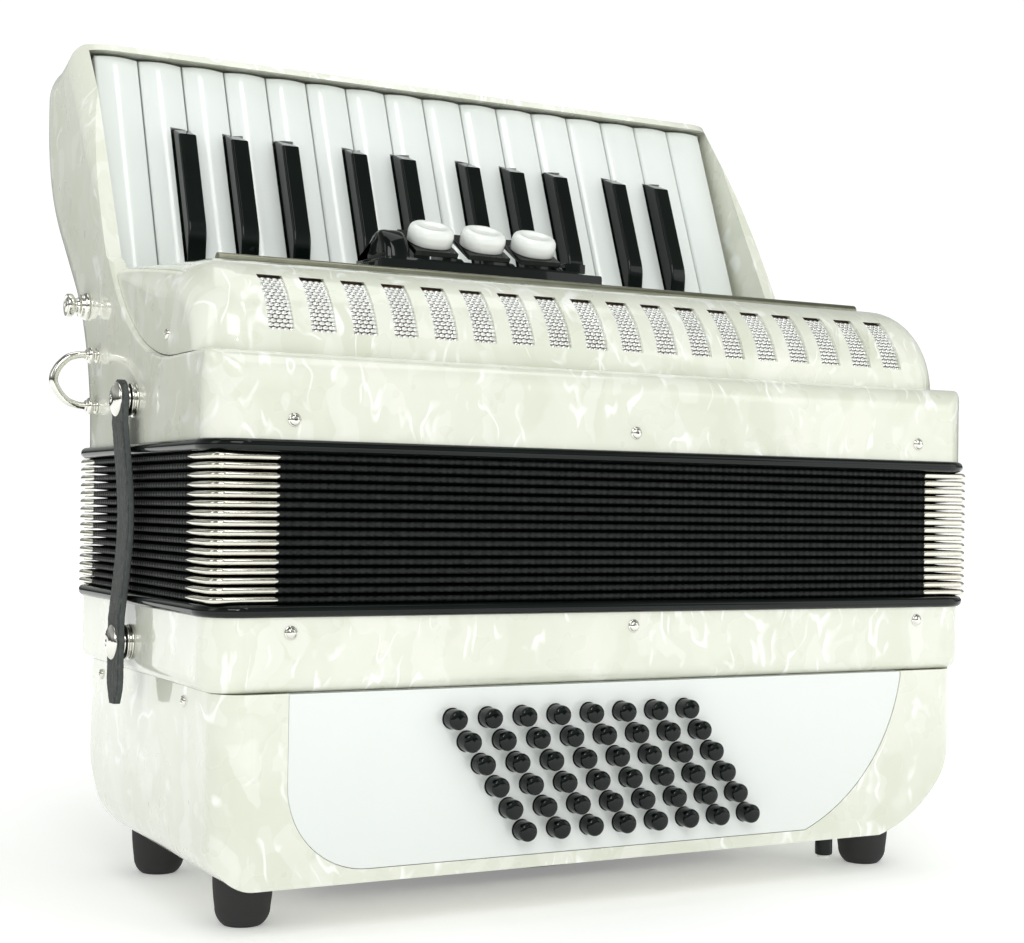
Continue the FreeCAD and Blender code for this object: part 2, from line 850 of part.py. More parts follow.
def treble_hollow_outline():
    """Inside of the treble case; it is open below, and towards the keyboard and grille."""
    low = treble_low()
    inner_front = case_front() + size("back_wall")
    shelf_z = size("soundboard_bottom") + size("soundboard_thickness")
    shelf_y = size("shelf_front")
    back, crest_end = back_profile(size("back_wall"), 3.0, low)
    corners = [crest_end, (40.0, crest_end[1]), (shelf_y, 262.0), (shelf_y, shelf_z),
               (inner_front, shelf_z), (inner_front, low),
               (size("treble_back") - size("back_wall"), low)]
    return back + [line(a, b) for a, b in zip(corners, corners[1:])]


def is_crest(bounds):
    """True for the flat top line of an end of the treble case."""
    return bounds.ZLength < 1e-3 and abs(bounds.ZMax - size("treble_top")) < 1e-3


def treble_radii(edge):
    """Rounding at the start and end of an edge of the treble block; None where it stays sharp."""
    bounds = edge.BoundBox
    if bounds.XLength > 1e-3:
        return None
    start, end = [vertex.Point for vertex in edge.Vertexes]
    front = case_front() + 1e-3
    back_turn, corner = size("back_radius"), size("case_corner")
    crest_turn, soft = 4.0, 1.5
    if is_crest(bounds):
        return (back_turn, crest_turn) if start.y > end.y else (crest_turn, back_turn)
    if min(start.y, end.y) > 40:
        return back_turn, back_turn
    if max(start.y, end.y) < front and bounds.ZLength > 10:
        return corner, corner
    if bounds.YMin < front and bounds.ZLength > 5 and bounds.YLength < 15:
        return (corner, soft) if start.z < end.z else (soft, corner)
    return None


def treble_case():
    block = extrusion("treble_block", treble_outline(), SIDE_VIEW, "sizes.case_length")
    radii = [(number, treble_radii(edge)) for number, edge in enumerate(block.Shape.Edges, 1)]
    shaped = doc.addObject("Part::Fillet", "treble_shaped")
    shaped.Base = block
    shaped.Edges = [(number, *pair) for number, pair in radii if pair]
    doc.recompute()
    hollow = extrusion("treble_hollow", treble_hollow_outline(), SIDE_VIEW,
                       "sizes.case_length - 2 * sizes.case_wall")
    keep(cut("treble_case", shaped, hollow), "treble_case")


def grille_curve(inset):
    """Round front of the grille cover or of a surface inside it: centre, radius and deck start."""
    radius = size("grille_radius") - inset
    centre = (size("grille_centre_y"), size("grille_centre_z"))
    return centre, radius, on_circle(centre, radius, 90 + size("deck_slope"))


def deck_height(y, inset=0.0):
    """Height of the grille's deck, or of a surface set below it, at depth y."""
    deck_start = grille_curve(inset)[2]
    return deck_start[1] + (y - deck_start[0]) * math.tan(math.radians(size("deck_slope")))


def is_end_rim(edge, foot_z, nest_z):
    """The front curve and the deck edge at either end of the cover."""
    bounds = edge.BoundBox
    at_end = bounds.XLength < 1e-3 and bounds.YLength > 20
    above = bounds.ZMax > foot_z + 20 and bounds.ZMin > foot_z - 1
    return at_end and above and abs(bounds.ZMin - nest_z) > 0.2


def end_radii(edge):
    """Start and end radius for an end rim: full in front, tight towards the side wall."""
    radii = []
    for vertex in (edge.firstVertex(), edge.lastVertex()):
        at_wall = vertex.Point.y > 0
        radii.append(size("grille_back_corner") if at_wall else size("grille_end_corner"))
    return radii


def treble_grille():
    """Cover over the pallets: eighteen slots, ends that nest into the side walls."""
    centre, radius, deck_start = grille_curve(0.0)
    low = size("ledge_top") + size("side_gap")
    start = 180 - math.degrees(math.asin((low - centre[1]) / radius))
    slope = size("deck_slope")
    nest = SIDE_ARC_RADIUS - size("side_gap")
    back_y = 4.0
    nest_end = -math.degrees(math.acos((back_y - SIDE_ARC_CENTRE[0]) / nest))
    nest_start_angle = -math.degrees(math.acos(0.0))
    nest_low = on_circle(SIDE_ARC_CENTRE, nest, nest_start_angle)
    foot = on_circle(centre, radius, start)
    outline = [
        arc(centre, radius, 90 + slope, start),
        line(deck_start, (back_y, deck_height(back_y))),
        line((back_y, deck_height(back_y)), on_circle(SIDE_ARC_CENTRE, nest, nest_end)),
        arc(SIDE_ARC_CENTRE, nest, nest_start_angle, nest_end),
        line(nest_low, foot),
    ]
    block = extrusion("grille_block", outline, SIDE_VIEW, "2 * sizes.grille_half_length")
    rounded = doc.addObject("Part::Fillet", "grille_rounded")
    rounded.Base = block
    rounded.Edges = [(number, *end_radii(edge)) for number, edge in enumerate(block.Shape.Edges, 1)
                     if is_end_rim(edge, foot[1], nest_low[1])]
    doc.recompute()
    skin = size("grille_skin")
    _, inner_radius, inner_start = grille_curve(skin)
    hollow_low = low - 10
    hollow = [
        line((centre[0] - inner_radius, hollow_low), (centre[0] - inner_radius, centre[1])),
        arc(centre, inner_radius, 90 + slope, 180),
        line(inner_start, (30.0, deck_height(30.0, skin))),
        line((30.0, deck_height(30.0, skin)), (30.0, hollow_low)),
        line((30.0, hollow_low), (centre[0] - inner_radius, hollow_low)),
    ]
    inside = extrusion("grille_inside", hollow, SIDE_VIEW,
                       "2 * (sizes.grille_half_length - sizes.grille_end_wall)")
    tongue_outline = [
        (back_y - 12.0, deck_height(back_y - 12.0)), (26.0, deck_height(26.0)),
        (26.0, deck_height(26.0, skin)), (back_y - 12.0, deck_height(back_y - 12.0, skin))]
    tongue = extrusion("grille_tongue", polygon(tongue_outline), SIDE_VIEW,
                       "sizes.case_length - 2 * sizes.case_wall - 2 * sizes.side_gap")
    slots = []
    slot_height = size("slot_top") - size("slot_bottom")
    for index in range(int(size("slot_count"))):
        x = (index - (size("slot_count") - 1) / 2) * size("slot_pitch")
        corner = (x - size("slot_width") / 2, centre[0] - radius - 5, size("slot_bottom"))
        slots.append(box("grille_slot", "sizes.slot_width", 30.0, slot_height, corner))
    whole = fuse("grille_whole", [cut("grille_shell", rounded, inside), tongue])
    keep(cut("treble_grille", whole, group("grille_slots", slots)), "treble_grille")


def grille_mesh():
    """Woven metal sheet behind the slots."""
    gap, thick = 0.2, 0.7
    outer = size("grille_radius") - size("grille_skin") - gap
    inner = outer - thick
    centre = (size("grille_centre_y"), size("grille_centre_z"))
    low, high = 125.0, 172.0
    outline = [
        arc(centre, outer, low, high),
        line(on_circle(centre, outer, high), on_circle(centre, inner, high)),
        arc(centre, inner, low, high),
        line(on_circle(centre, inner, low), on_circle(centre, outer, low)),
    ]
    keep(extrusion("grille_mesh", outline, SIDE_VIEW, "290 mm"), "grille_mesh")


def grille_trim():
    """Half-round metal bar along the front of the deck, with three small ribs at one end."""
    radius = 2.5
    middle = -63.6
    low = deck_height(middle + radius) + 0.1
    bar = extrusion("trim_bar", [arc((middle, low), radius, 0, 180),
                                 line((middle - radius, low), (middle + radius, low))],
                    SIDE_VIEW, "284 mm")
    pieces = [bar]
    rib_length, rib_width, rib_height = 5.0, 4.0, 2.2
    for x in TRIM_RIB_X:
        corner = (x, middle + radius + 0.4, low + 0.3)
        pieces.append(box("trim_rib", rib_length, rib_width, rib_height, corner))
    keep(group("grille_trim", pieces), "grille_trim")


def treble_soundboard():
    """Board with one tone hole under each pallet."""
    body = slotted_board("treble_soundboard", 308.0, 146.0, size("soundboard_bottom"),
                         "sizes.soundboard_thickness", pallet_places())
    keep(body, "treble_soundboard")


# ---------------------------------------------------------------- keyboard

WHITE_PALLET_Y = -60.0
BLACK_PALLET_Y = -30.0


def black_centres():
    """X of each black key, by the white key to its left."""
    pitch = size("white_pitch")
    left = -pitch * size("white_keys") / 2
    centres = {}
    for members in BLACK_GROUPS:
        for white, offset in zip(members, BLACK_OFFSETS[len(members)]):
            centres[white] = left + pitch * white + offset
    return centres


def white_spans():
    """For each white key: its full left and right edge, then those beside the black keys."""
    pitch = size("white_pitch")
    gap = size("key_gap") / 2
    left = -pitch * size("white_keys") / 2
    reach = size("black_width") / 2 + size("notch_gap")
    blacks = black_centres()
    spans = []
    for number in range(1, int(size("white_keys")) + 1):
        low, high = left + pitch * (number - 1) + gap, left + pitch * number - gap
        narrow_low = blacks[number - 1] + reach if number - 1 in blacks else low
        narrow_high = blacks[number] - reach if number in blacks else high
        spans.append((low, high, max(low, narrow_low), min(high, narrow_high)))
    return spans


def pallet_places():
    places = [((span[2] + span[3]) / 2, WHITE_PALLET_Y) for span in white_spans()]
    return places + [(x, BLACK_PALLET_Y) for x in black_centres().values()]


def key_placement(x):
    """Key frame: X along the keyboard, Y back up along the key, Z out of its face."""
    turn = Rotation(X_AXIS, 90 - size("key_lean"))
    return Placement(Vector(x, size("key_end_y"), size("key_end_z")), turn)


def in_key(y, z):
    """A point of the case's side view, in the side view of a key."""
    local = key_placement(0.0).inverse().multVec(Vector(0, y, z))
    return (local.y, local.z)


def lever_outline(pallet_y):
    """Side view of the lever: from the key over the axle to the pallet on the soundboard."""
    seat = size("soundboard_bottom") + size("soundboard_thickness")
    half = 8.0
    points = [(36.5, 236.4), (31.5, 228.0), (18.0, 216.0), (pallet_y - half, seat + 12.0),
              (pallet_y - half, seat + 0.1), (pallet_y + half, seat + 0.1),
              (pallet_y + half, seat + 7.5), (16.0, 209.0), (33.0, 217.5),
              (41.5, 222.0), (42.2, 232.6)]
    return polygon([in_key(y, z) for y, z in points])


def add_lever(body, name, x, pallet_y):
    """Lever, pallet and axle bore on a key; x is the lever's place in the key's frame."""
    arm = body_sketch(body, "YZ_Plane", name + "_lever", lever_outline(pallet_y), (0, 0, x))
    pad(body, arm, "sizes.lever_width", middle=True)
    seat = size("soundboard_bottom") + size("soundboard_thickness") + 0.1
    pallet = [(pallet_y - 8.0, seat), (pallet_y + 8.0, seat),
              (pallet_y + 8.0, seat + 4.0), (pallet_y - 8.0, seat + 4.0)]
    pallet_sketch = body_sketch(body, "YZ_Plane", name + "_pallet",
                                polygon([in_key(y, z) for y, z in pallet]), (0, 0, x))
    pad(body, pallet_sketch, "3 * sizes.lever_width", middle=True)
    axle = in_key(size("axle_y"), size("axle_z"))
    bore = size("axle_radius") + size("bore_clearance")
    hole = body_sketch(body, "YZ_Plane", name + "_bore", [circle(axle, bore)], (0, 0, x))
    return pocket(body, hole, "4 * sizes.lever_width", middle=True)


def white_key(number, span):
    low, high, narrow_low, narrow_high = span
    centre = (low + high) / 2
    half = (high - low) / 2
    crown = size("key_crown")
    depth = size("white_thickness")
    name = f"white_key_{number:02d}"
    body = new_body(name)
    body.Placement = key_placement(centre)
    section = [
        arc_through((half, -crown), (0, 0), (-half, -crown)),
        line((-half, -crown), (-half, -depth)),
        line((-half, -depth), (half, -depth)),
        line((half, -depth), (half, -crown)),
    ]
    face = body_sketch(body, "XZ_Plane", name + "_section", section)
    blank = pad(body, face, "sizes.white_length")

    def is_upper(edge):
        bounds = edge.BoundBox
        near_end = bounds.YMin > -1e-3 and bounds.ZMin > -crown - 1e-3
        long_side = bounds.YLength > 50 and abs(bounds.ZMax + crown) < 1e-3
        return near_end or long_side

    round_edges(body, blank, "1.2 mm", is_upper)
    start = -size("black_start") + 0.8
    for side, wide, narrow in ((-1, low, narrow_low), (1, high, narrow_high)):
        if abs(wide - narrow) < 0.01:
            continue
        inner, outer = narrow - centre, wide - centre + side
        notch = rectangle(abs(outer - inner), 80.0, ((inner + outer) / 2, start - 40.0))
        side_name = "left" if side < 0 else "right"
        sketch = body_sketch(body, "XY_Plane", f"{name}_{side_name}_notch", notch, (0, 0, 1))
        pocket(body, sketch, "sizes.white_thickness + 2")
    add_lever(body, name, (narrow_low + narrow_high) / 2 - centre, WHITE_PALLET_Y)
    keep(body, name)


def eased_corner(before, corner, after, reach):
    """Start, middle and end of the arc that rounds a corner, starting at a reach from it."""
    corner = Vector(corner[0], corner[1], 0)
    back = (Vector(before[0], before[1], 0) - corner).normalize()
    ahead = (Vector(after[0], after[1], 0) - corner).normalize()
    half_angle = back.getAngle(ahead) / 2
    sunk = reach * (1 / math.cos(half_angle) - math.tan(half_angle))
    inward = (back + ahead).normalize()
    spots = (corner + back * reach, corner + inward * sunk, corner + ahead * reach)
    return [(spot.x, spot.y) for spot in spots]


def black_key(number, x):
    start = size("black_start")
    height = size("black_height")
    depth = size("white_thickness")
    half = size("black_width") / 2
    kink, tail, drop, tail_low = 84.5, 98.0, 6.5, -2.0
    name = f"black_key_{number:02d}"
    body = new_body(name)
    body.Placement = key_placement(x)
    nose, tip, back = (-start - 6.5, height), (-tail, height - drop), -size("white_length")
    bend = eased_corner(nose, (-kink, height), tip, 4.0)
    outline = [
        line((-start, -depth), (-start, 0.0)),
        line((-start, 0.0), nose),
        line(nose, bend[0]),
        arc_through(*bend),
        line(bend[2], tip),
        line(tip, (-tail - 1.0, tail_low)),
        line((-tail - 1.0, tail_low), (back, tail_low)),
        line((back, tail_low), (back, -depth)),
        line((back, -depth), (-start, -depth)),
    ]
    side = body_sketch(body, "YZ_Plane", name + "_side", outline)
    blank = pad(body, side, "sizes.black_width", middle=True)

    def is_shoulder(edge):
        bounds = edge.BoundBox
        on_side = abs(abs(bounds.XMin + bounds.XMax) / 2 - half) < 1e-3
        return on_side and bounds.ZMax > 1.0 and bounds.ZMin > -1e-3 and bounds.YLength > 2

    round_edges(body, blank, "1 mm", is_shoulder)
    add_lever(body, name, 0.0, BLACK_PALLET_Y)
    keep(body, name)


def keyboard():
    for number, span in enumerate(white_spans(), 1):
        white_key(number, span)
    for number, x in enumerate(black_centres().values(), 1):
        black_key(number, x)


def key_bed():
    """Board under the keys, between the cheeks."""
    body = new_body("key_bed")
    body.Placement = key_placement(0.0)
    width = size("case_length") - 2 * size("case_wall")
    length, middle, depth_below = 89.0, -47.5, -21.0
    outline = rectangle(width, length, (0, middle))
    board = body_sketch(body, "XY_Plane", "bed_outline", outline, (0, 0, depth_below))
    pad(body, board, "4 mm")
    keep(body, "key_bed")


def key_axle():
    half = size("case_length") / 2 - size("case_wall")
    axle = cylinder("key_axle", "sizes.axle_radius", 2 * half,
                    (-half, size("axle_y"), size("axle_z")), X_AXIS)
    keep(axle, "key_axle")


# ---------------------------------------------------------------- registers

REGISTER_TOE = (-48.5, 242.4)
REGISTER_LENGTH = 21.0


def register_view(points):
    """Turn points along and out of a tilted switch into the case's side view."""
    tilt = math.radians(size("register_tilt"))
    y0, z0 = REGISTER_TOE
    return [(y0 + a * math.cos(tilt) - n * math.sin(tilt),
             z0 + a * math.sin(tilt) + n * math.cos(tilt)) for a, n in points]


def register_places():
    count = int(size("register_count"))
    return [size("register_first_x") + i * size("register_pitch") for i in range(count)]


def register_switch(number, x):
    """A black paddle carrying an oval white button."""
    width = 18.5
    name = f"register_switch_{number}"
    outline = register_view([(0, 0), (REGISTER_LENGTH, 0), (REGISTER_LENGTH, -2.2), (0, -2.2)])
    paddle = extrusion(name + "_paddle", polygon(outline), SIDE_VIEW, f"{width} mm", at=x)
    body = new_body(name + "_button")
    middle = register_view([(9.5, 0.0)])[0]
    lean = size("register_tilt")
    body.Placement = Placement(Vector(x, middle[0], middle[1]), Rotation(X_AXIS, lean))
    straight = 1.4
    radius = 7.8
    oval = [
        line((-straight, radius), (straight, radius)),
        arc((straight, 0), radius, -90, 90),
        line((straight, -radius), (-straight, -radius)),
        arc((-straight, 0), radius, 90, 270),
    ]
    block = pad(body, body_sketch(body, "XY_Plane", name + "_oval", oval), "7 mm")
    round_edges(body, block, "2.4 mm", lambda edge: edge.BoundBox.ZMin > 6.9)
    keep(fuse(name, [paddle, body]), name)


def register_base():
    """Black base on the deck, with lugs between the switches and a guard at one end."""
    left, right = -73.5, 25.5
    front, back = -50.0, -20.0
    top = 239.0
    foot = 0.15
    profile = polygon([(front, deck_height(front) + foot), (back, deck_height(back) + foot),
                       (back, top), (front, top)])
    slab = extrusion("base_slab", profile, SIDE_VIEW, f"{right - left} mm", at=(left + right) / 2)
    lug_profile = polygon([(front + 1.5, top - 0.5), (back, top - 0.5), (back, top + 8.0),
                           (front + 5.0, top + 2.0)])
    pieces = [slab]
    pitch = size("register_pitch")
    for index in range(int(size("register_count")) + 1):
        x = size("register_first_x") + (index - 0.5) * pitch
        pieces.append(extrusion("base_lug", lug_profile, SIDE_VIEW, "2.4 mm", at=x))
    guard_profile = [
        line((front + 1.5, top - 0.5), (back - 2.0, top - 0.5)),
        line((back - 2.0, top - 0.5), (back - 2.0, top + 5.0)),
        arc_through((back - 2.0, top + 5.0), (front + 14.0, top + 12.0), (front + 1.5, top - 0.5)),
    ]
    pieces.append(extrusion("base_guard", guard_profile, SIDE_VIEW, "10 mm", at=left + 9.0))
    end_length, end_width, end_height = 9.0, 22.0, 4.5
    pieces.append(box("base_end", end_length, end_width, end_height,
                      (right - end_length - 5.5, back - end_width - 2.0, top - 0.5)))
    keep(fuse("register_base", pieces), "register_base")


# ---------------------------------------------------------------- straps and treble fittings

def strap_loop(side):
    """D-shaped wire loop on two turned feet."""
    half = size("case_length") / 2
    y = size("loop_y")
    low, high = size("loop_low_z"), size("loop_high_z")
    foot_length = 4.5
    ring = doc.addObject("Part::Torus", "loop_ring")
    ring.Radius1 = (high - low) / 2
    ring.Radius2 = 1.6
    ring.Angle3 = 180
    stem = 3.5
    start = side * (half + foot_length + stem)
    turn = Rotation(Vector(0, 0, -side), Vector(side, 0, 0), Vector(0, -1, 0), "XYZ")
    ring.Placement = Placement(Vector(start, y, (low + high) / 2), turn)
    pieces = [ring]
    for z in (low, high):
        pieces.append(cylinder("loop_foot", 3.4, foot_length, (side * half, y, z), X_AXIS * side))
        pieces.append(cylinder("loop_stem", 1.6, foot_length + stem, (side * half, y, z), X_AXIS * side))
    return fuse("strap_loop", pieces)


def strap_knob(side):
    """Turned knob that takes the slotted end of a shoulder strap."""
    half = size("case_length") / 2
    y, z = size("knob_y"), size("knob_z")
    sizes = ((5.5, 2.0), (4.6, 1.5), (3.0, 2.5), (4.7, 3.0))
    pieces = []
    reach = 0.0
    for radius, height in sizes:
        base = (side * (half + reach), y, z)
        pieces.append(cylinder("knob_step", radius, height, base, X_AXIS * side))
        reach += height
    return fuse("strap_knob", pieces)


def treble_fittings():
    pin_seat = size("treble_back") + 0.45
    pieces = face_pins("treble_pin", size("treble_pin_z"), case_front(), pin_seat)
    pieces += strap_studs("upper_stud", size("upper_stud_z"))
    for side in (-1, 1):
        at = (side * size("grille_half_length"), size("grille_screw_y"), size("grille_screw_z"))
        pieces.append(screw("grille_screw", at, X_AXIS * side, 1.9, 1.1))
        pieces.append(strap_knob(side))
    keep(group("treble_fittings", pieces), "treble_fittings")
    keep(group("strap_loops", [strap_loop(side) for side in (-1, 1)]), "strap_loops")


def strap_side_view(shift):
    """One face of a bellows strap from its head to its tail; it sags towards the folds."""
    x = size("case_length") / 2 + size("stud_height") + 0.3 + shift
    return (x, 188.8), (x, 172.5), (x - size("strap_sag"), 136.0), (x, 102.5), (x, 71.0)


def bellows_strap(side, name):
    """Leather strap with a snap cap at each end; it keeps the bellows shut."""
    outline = []
    for shift in (0.0, size("strap_thickness")):
        head, high, middle, low, tail = [(x * side, z) for x, z in strap_side_view(shift)]
        outline += [line(head, high), arc_through(high, middle, low), line(low, tail)]
    inner, outer = (strap_side_view(shift) for shift in (0.0, size("strap_thickness")))
    for a, b in ((inner[0], outer[0]), (inner[-1], outer[-1])):
        outline.append(line((a[0] * side, a[1]), (b[0] * side, b[1])))
    band = extrusion(name + "_band", outline, FRONT_VIEW, "sizes.strap_width", at=-size("strap_y"))
    reach = side * outer[0][0]
    caps = [screw(name + "_cap", (reach, size("strap_y"), z), X_AXIS * side, 6.3, 2.6)
            for z in (size("upper_stud_z"), size("lower_stud_z"))]
    keep(group(name, [band] + caps), name)


# ---------------------------------------------------------------- assembly

def build():
    shell_form = bass_shell()
    bass_frame()
    bass_button_panel()
    bass_stem_guide()
    bass_buttons()
    feet(shell_form)
    hand_strap()
    air_button()
    bass_fittings()
    bass_reeds()
    bead_frame("bellows_frame_bass", size("bass_frame_top"))
    bellows_folds()
    bead_frame("bellows_frame_treble", bellows_top())
    treble_case()
    treble_soundboard()
    reed_unit("treble_reed_blocks", None, (250.0, 16.0, 34.0, size("soundboard_bottom") - 34.0))
    treble_grille()
    grille_mesh()
    grille_trim()
    key_bed()
    key_axle()
    keyboard()
    register_base()
    for number, x in enumerate(register_places(), 1):
        register_switch(number, x)
    treble_fittings()
    bellows_strap(-1, "bellows_strap_left")
    bellows_strap(1, "bellows_strap_right")


def check():
    """Stop if any feature failed or any sub-part is empty or invalid."""
    for item in doc.Objects:
        if "Invalid" in item.State or "Error" in item.State:
            raise RuntimeError(f"{item.Name} did not compute: {item.State}")
    for node in nodes:
        if node.Shape.isNull() or not node.Shape.isValid():
            raise RuntimeError(f"{node.Label} has no valid shape")


def export():
    os.makedirs("parts", exist_ok=True)
    for node in nodes:
        node.Shape.exportStep(f"parts/{node.Label}.step")


build()
doc.recompute()
check()
export()
print(len(nodes), "sub-parts written")
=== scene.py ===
"""Looks of the piano accordion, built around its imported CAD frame.

Blender works in metres. Sizes and places written in millimetres are turned into metres by MM,
spot() or round_profile().
"""
import bpy
import math
import random
from mathutils import Matrix, Vector


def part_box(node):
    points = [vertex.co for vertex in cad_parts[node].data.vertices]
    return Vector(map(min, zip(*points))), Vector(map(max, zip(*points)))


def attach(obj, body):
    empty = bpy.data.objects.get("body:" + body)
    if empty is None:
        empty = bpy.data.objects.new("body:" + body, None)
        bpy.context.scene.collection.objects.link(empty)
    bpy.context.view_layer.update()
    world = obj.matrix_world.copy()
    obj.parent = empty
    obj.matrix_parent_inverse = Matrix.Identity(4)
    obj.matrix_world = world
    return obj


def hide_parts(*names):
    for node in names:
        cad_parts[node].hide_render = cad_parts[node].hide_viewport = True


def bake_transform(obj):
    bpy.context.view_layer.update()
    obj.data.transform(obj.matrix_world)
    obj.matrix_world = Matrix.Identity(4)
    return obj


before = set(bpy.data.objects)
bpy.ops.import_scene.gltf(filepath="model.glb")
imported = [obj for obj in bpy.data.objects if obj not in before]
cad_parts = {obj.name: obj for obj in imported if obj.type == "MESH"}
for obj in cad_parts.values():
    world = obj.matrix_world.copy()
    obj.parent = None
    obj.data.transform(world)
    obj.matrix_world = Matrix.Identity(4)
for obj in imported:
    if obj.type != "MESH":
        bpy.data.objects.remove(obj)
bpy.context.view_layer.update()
random.seed(48)

MM = 0.001
X_AXIS = Vector((1, 0, 0))
Y_AXIS = Vector((0, 1, 0))
Z_AXIS = Vector((0, 0, 1))

CASE_LOW, CASE_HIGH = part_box("treble_case")
HALF_LENGTH = CASE_HIGH.x
FRONT = CASE_LOW.y
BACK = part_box("bass_frame")[1].y
MIDDLE = (FRONT + BACK) / 2
BELLOWS_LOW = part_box("bellows_folds")[0].z
BELLOWS_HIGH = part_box("bellows_folds")[1].z
FOLDS = 16


# ---------------------------------------------------------------- materials

class Finish:
    """One procedural material, with short ways to add nodes and join them."""

    def __init__(self, name, **values):
        self.material = bpy.data.materials.new(name)
        self.material.use_nodes = True
        self.tree = self.material.node_tree
        self.shader = self.tree.nodes["Principled BSDF"]
        for socket, value in values.items():
            self.shader.inputs[socket.replace("_", " ")].default_value = value
        self.place = self.tree.nodes.new("ShaderNodeTexCoord").outputs["Object"]

    def node(self, kind, sockets=None, **settings):
        made = self.tree.nodes.new("ShaderNode" + kind)
        for key, value in settings.items():
            setattr(made, key, value)
        for name, value in (sockets or {}).items():
            self.plug(value, made.inputs[name])
        return made

    def plug(self, value, target):
        if isinstance(value, bpy.types.NodeSocket):
            self.tree.links.new(value, target)
        else:
            target.default_value = value

    def stretched(self, scale, turn=(0.0, 0.0, 0.0), coordinate=None):
        """Object coordinates, turned and then stretched."""
        source = coordinate or self.place
        return self.node("Mapping", {"Vector": source, "Scale": scale, "Rotation": turn}).outputs["Vector"]

    def noise(self, scale, detail=2.0, coordinate=None, rough=0.5):
        sockets = {"Vector": coordinate or self.place, "Scale": scale, "Detail": detail, "Roughness": rough}
        return self.node("TexNoise", sockets).outputs

    def cells(self, coordinate, scale, smoothness):
        """Soft-edged shards, each of one random colour."""
        sockets = {"Vector": coordinate, "Scale": scale, "Smoothness": smoothness}
        return self.node("TexVoronoi", sockets, feature="SMOOTH_F1").outputs["Color"]

    def ramp(self, value, stops):
        """Colours or grey levels along a value; stops are (place, colour or grey)."""
        made = self.node("ValToRGB", {"Fac": value})
        elements = made.color_ramp.elements
        while len(elements) < len(stops):
            elements.new(0.5)
        for element, (place, colour) in zip(elements, stops):
            element.position = place
            element.color = (*colour, 1) if isinstance(colour, tuple) else (colour, colour, colour, 1)
        return made.outputs["Color"]

    def mix(self, amount, first, second, blend="MIX"):
        made = self.node("MixRGB", blend_type=blend)
        for socket, value in (("Fac", amount), ("Color1", first), ("Color2", second)):
            if isinstance(value, tuple):
                value = (*value, 1)
            self.plug(value, made.inputs[socket])
        return made.outputs["Color"]

    def math(self, operation, first, second=0.0):
        made = self.node("Math", operation=operation)
        self.plug(first, made.inputs[0])
        self.plug(second, made.inputs[1])
        return made.outputs[0]

    def bump(self, height, depth, strength=1.0, below=None):
        sockets = {"Height": height, "Distance": depth, "Strength": strength}
        if below:
            sockets["Normal"] = below
        return self.node("Bump", sockets).outputs["Normal"]

    def feed(self, **sockets):
        for name, value in sockets.items():
            self.plug(value, self.shader.inputs[name.replace("_", " ")])


def pearl_strokes(finish, turn, scale, long, width):
    """Thin curved pearly strokes that run mostly one way, in short runs."""
    drift = finish.noise(30.0, 2.0)["Color"]
    bent = finish.mix(0.030, finish.place, drift, "ADD")
    field = finish.noise(scale, 1.0, finish.stretched((1.0, long, long), turn, bent))[0]
    fold = finish.math("ABSOLUTE", finish.math("SUBTRACT", field, 0.5))
    stroke = finish.ramp(fold, [(0.0, 1.0), (width * 0.45, 0.8), (width, 0.0), (1.0, 0.0)])
    runs = finish.noise(70.0, 1.5, finish.stretched((1.0, 0.8, 1.0), turn))[0]
    broken = finish.ramp(runs, [(0.0, 0.0), (0.54, 0.0), (0.63, 1.0), (1.0, 1.0)])
    return finish.mix(1.0, stroke, broken, "MULTIPLY")


def pearloid():
    """Ivory celluloid: soft pearly shards and groups of curved white strokes under a clear skin."""
    finish = Finish("pearloid", Coat_Weight=1.0, Coat_Roughness=0.03, Coat_IOR=1.5)
    drift = finish.noise(26.0, 3.0)["Color"]
    swirl = finish.mix(0.05, finish.place, drift, "ADD")
    large = finish.stretched((1.0, 1.0, 0.55), (0.5, 0.4, 0.3), swirl)
    small = finish.stretched((1.0, 1.0, 0.4), (0.2, 1.1, 0.9), swirl)
    shards = finish.cells(large, 62.0, 0.35)
    patches = finish.cells(small, 120.0, 0.2)
    shard = finish.node("SeparateColor", {"Color": shards}).outputs[0]
    body = finish.ramp(shard, [(0.15, (0.675, 0.695, 0.585)), (0.5, (0.705, 0.722, 0.62)),
                               (0.85, (0.74, 0.752, 0.655))])
    patch = finish.node("SeparateColor", {"Color": patches}).outputs[1]
    flakes = finish.ramp(patch, [(0.0, 0.0), (0.66, 0.0), (0.78, 0.18), (1.0, 0.34)])
    clouds = finish.ramp(finish.noise(45.0, 4.0, swirl)[0], [(0.35, 0.0), (0.75, 0.20)])
    pearl = finish.mix(flakes, finish.mix(clouds, body, (0.86, 0.87, 0.81)), (0.90, 0.905, 0.86))
    first = pearl_strokes(finish, (0.3, 0.6, 0.5), 68.0, 0.32, 0.026)
    second = pearl_strokes(finish, (1.2, 0.2, 1.9), 96.0, 0.36, 0.030)
    strokes = finish.mix(1.0, first, second, "LIGHTEN")
    finish.feed(Base_Color=finish.mix(strokes, pearl, (0.91, 0.925, 0.885)))
    finish.feed(Roughness=finish.ramp(finish.noise(60.0)[0], [(0.3, 0.36), (0.7, 0.24)]))
    finish.feed(Normal=finish.bump(finish.mix(0.6, shards, strokes, "ADD"), 0.35 * MM, 0.2))
    return finish.material


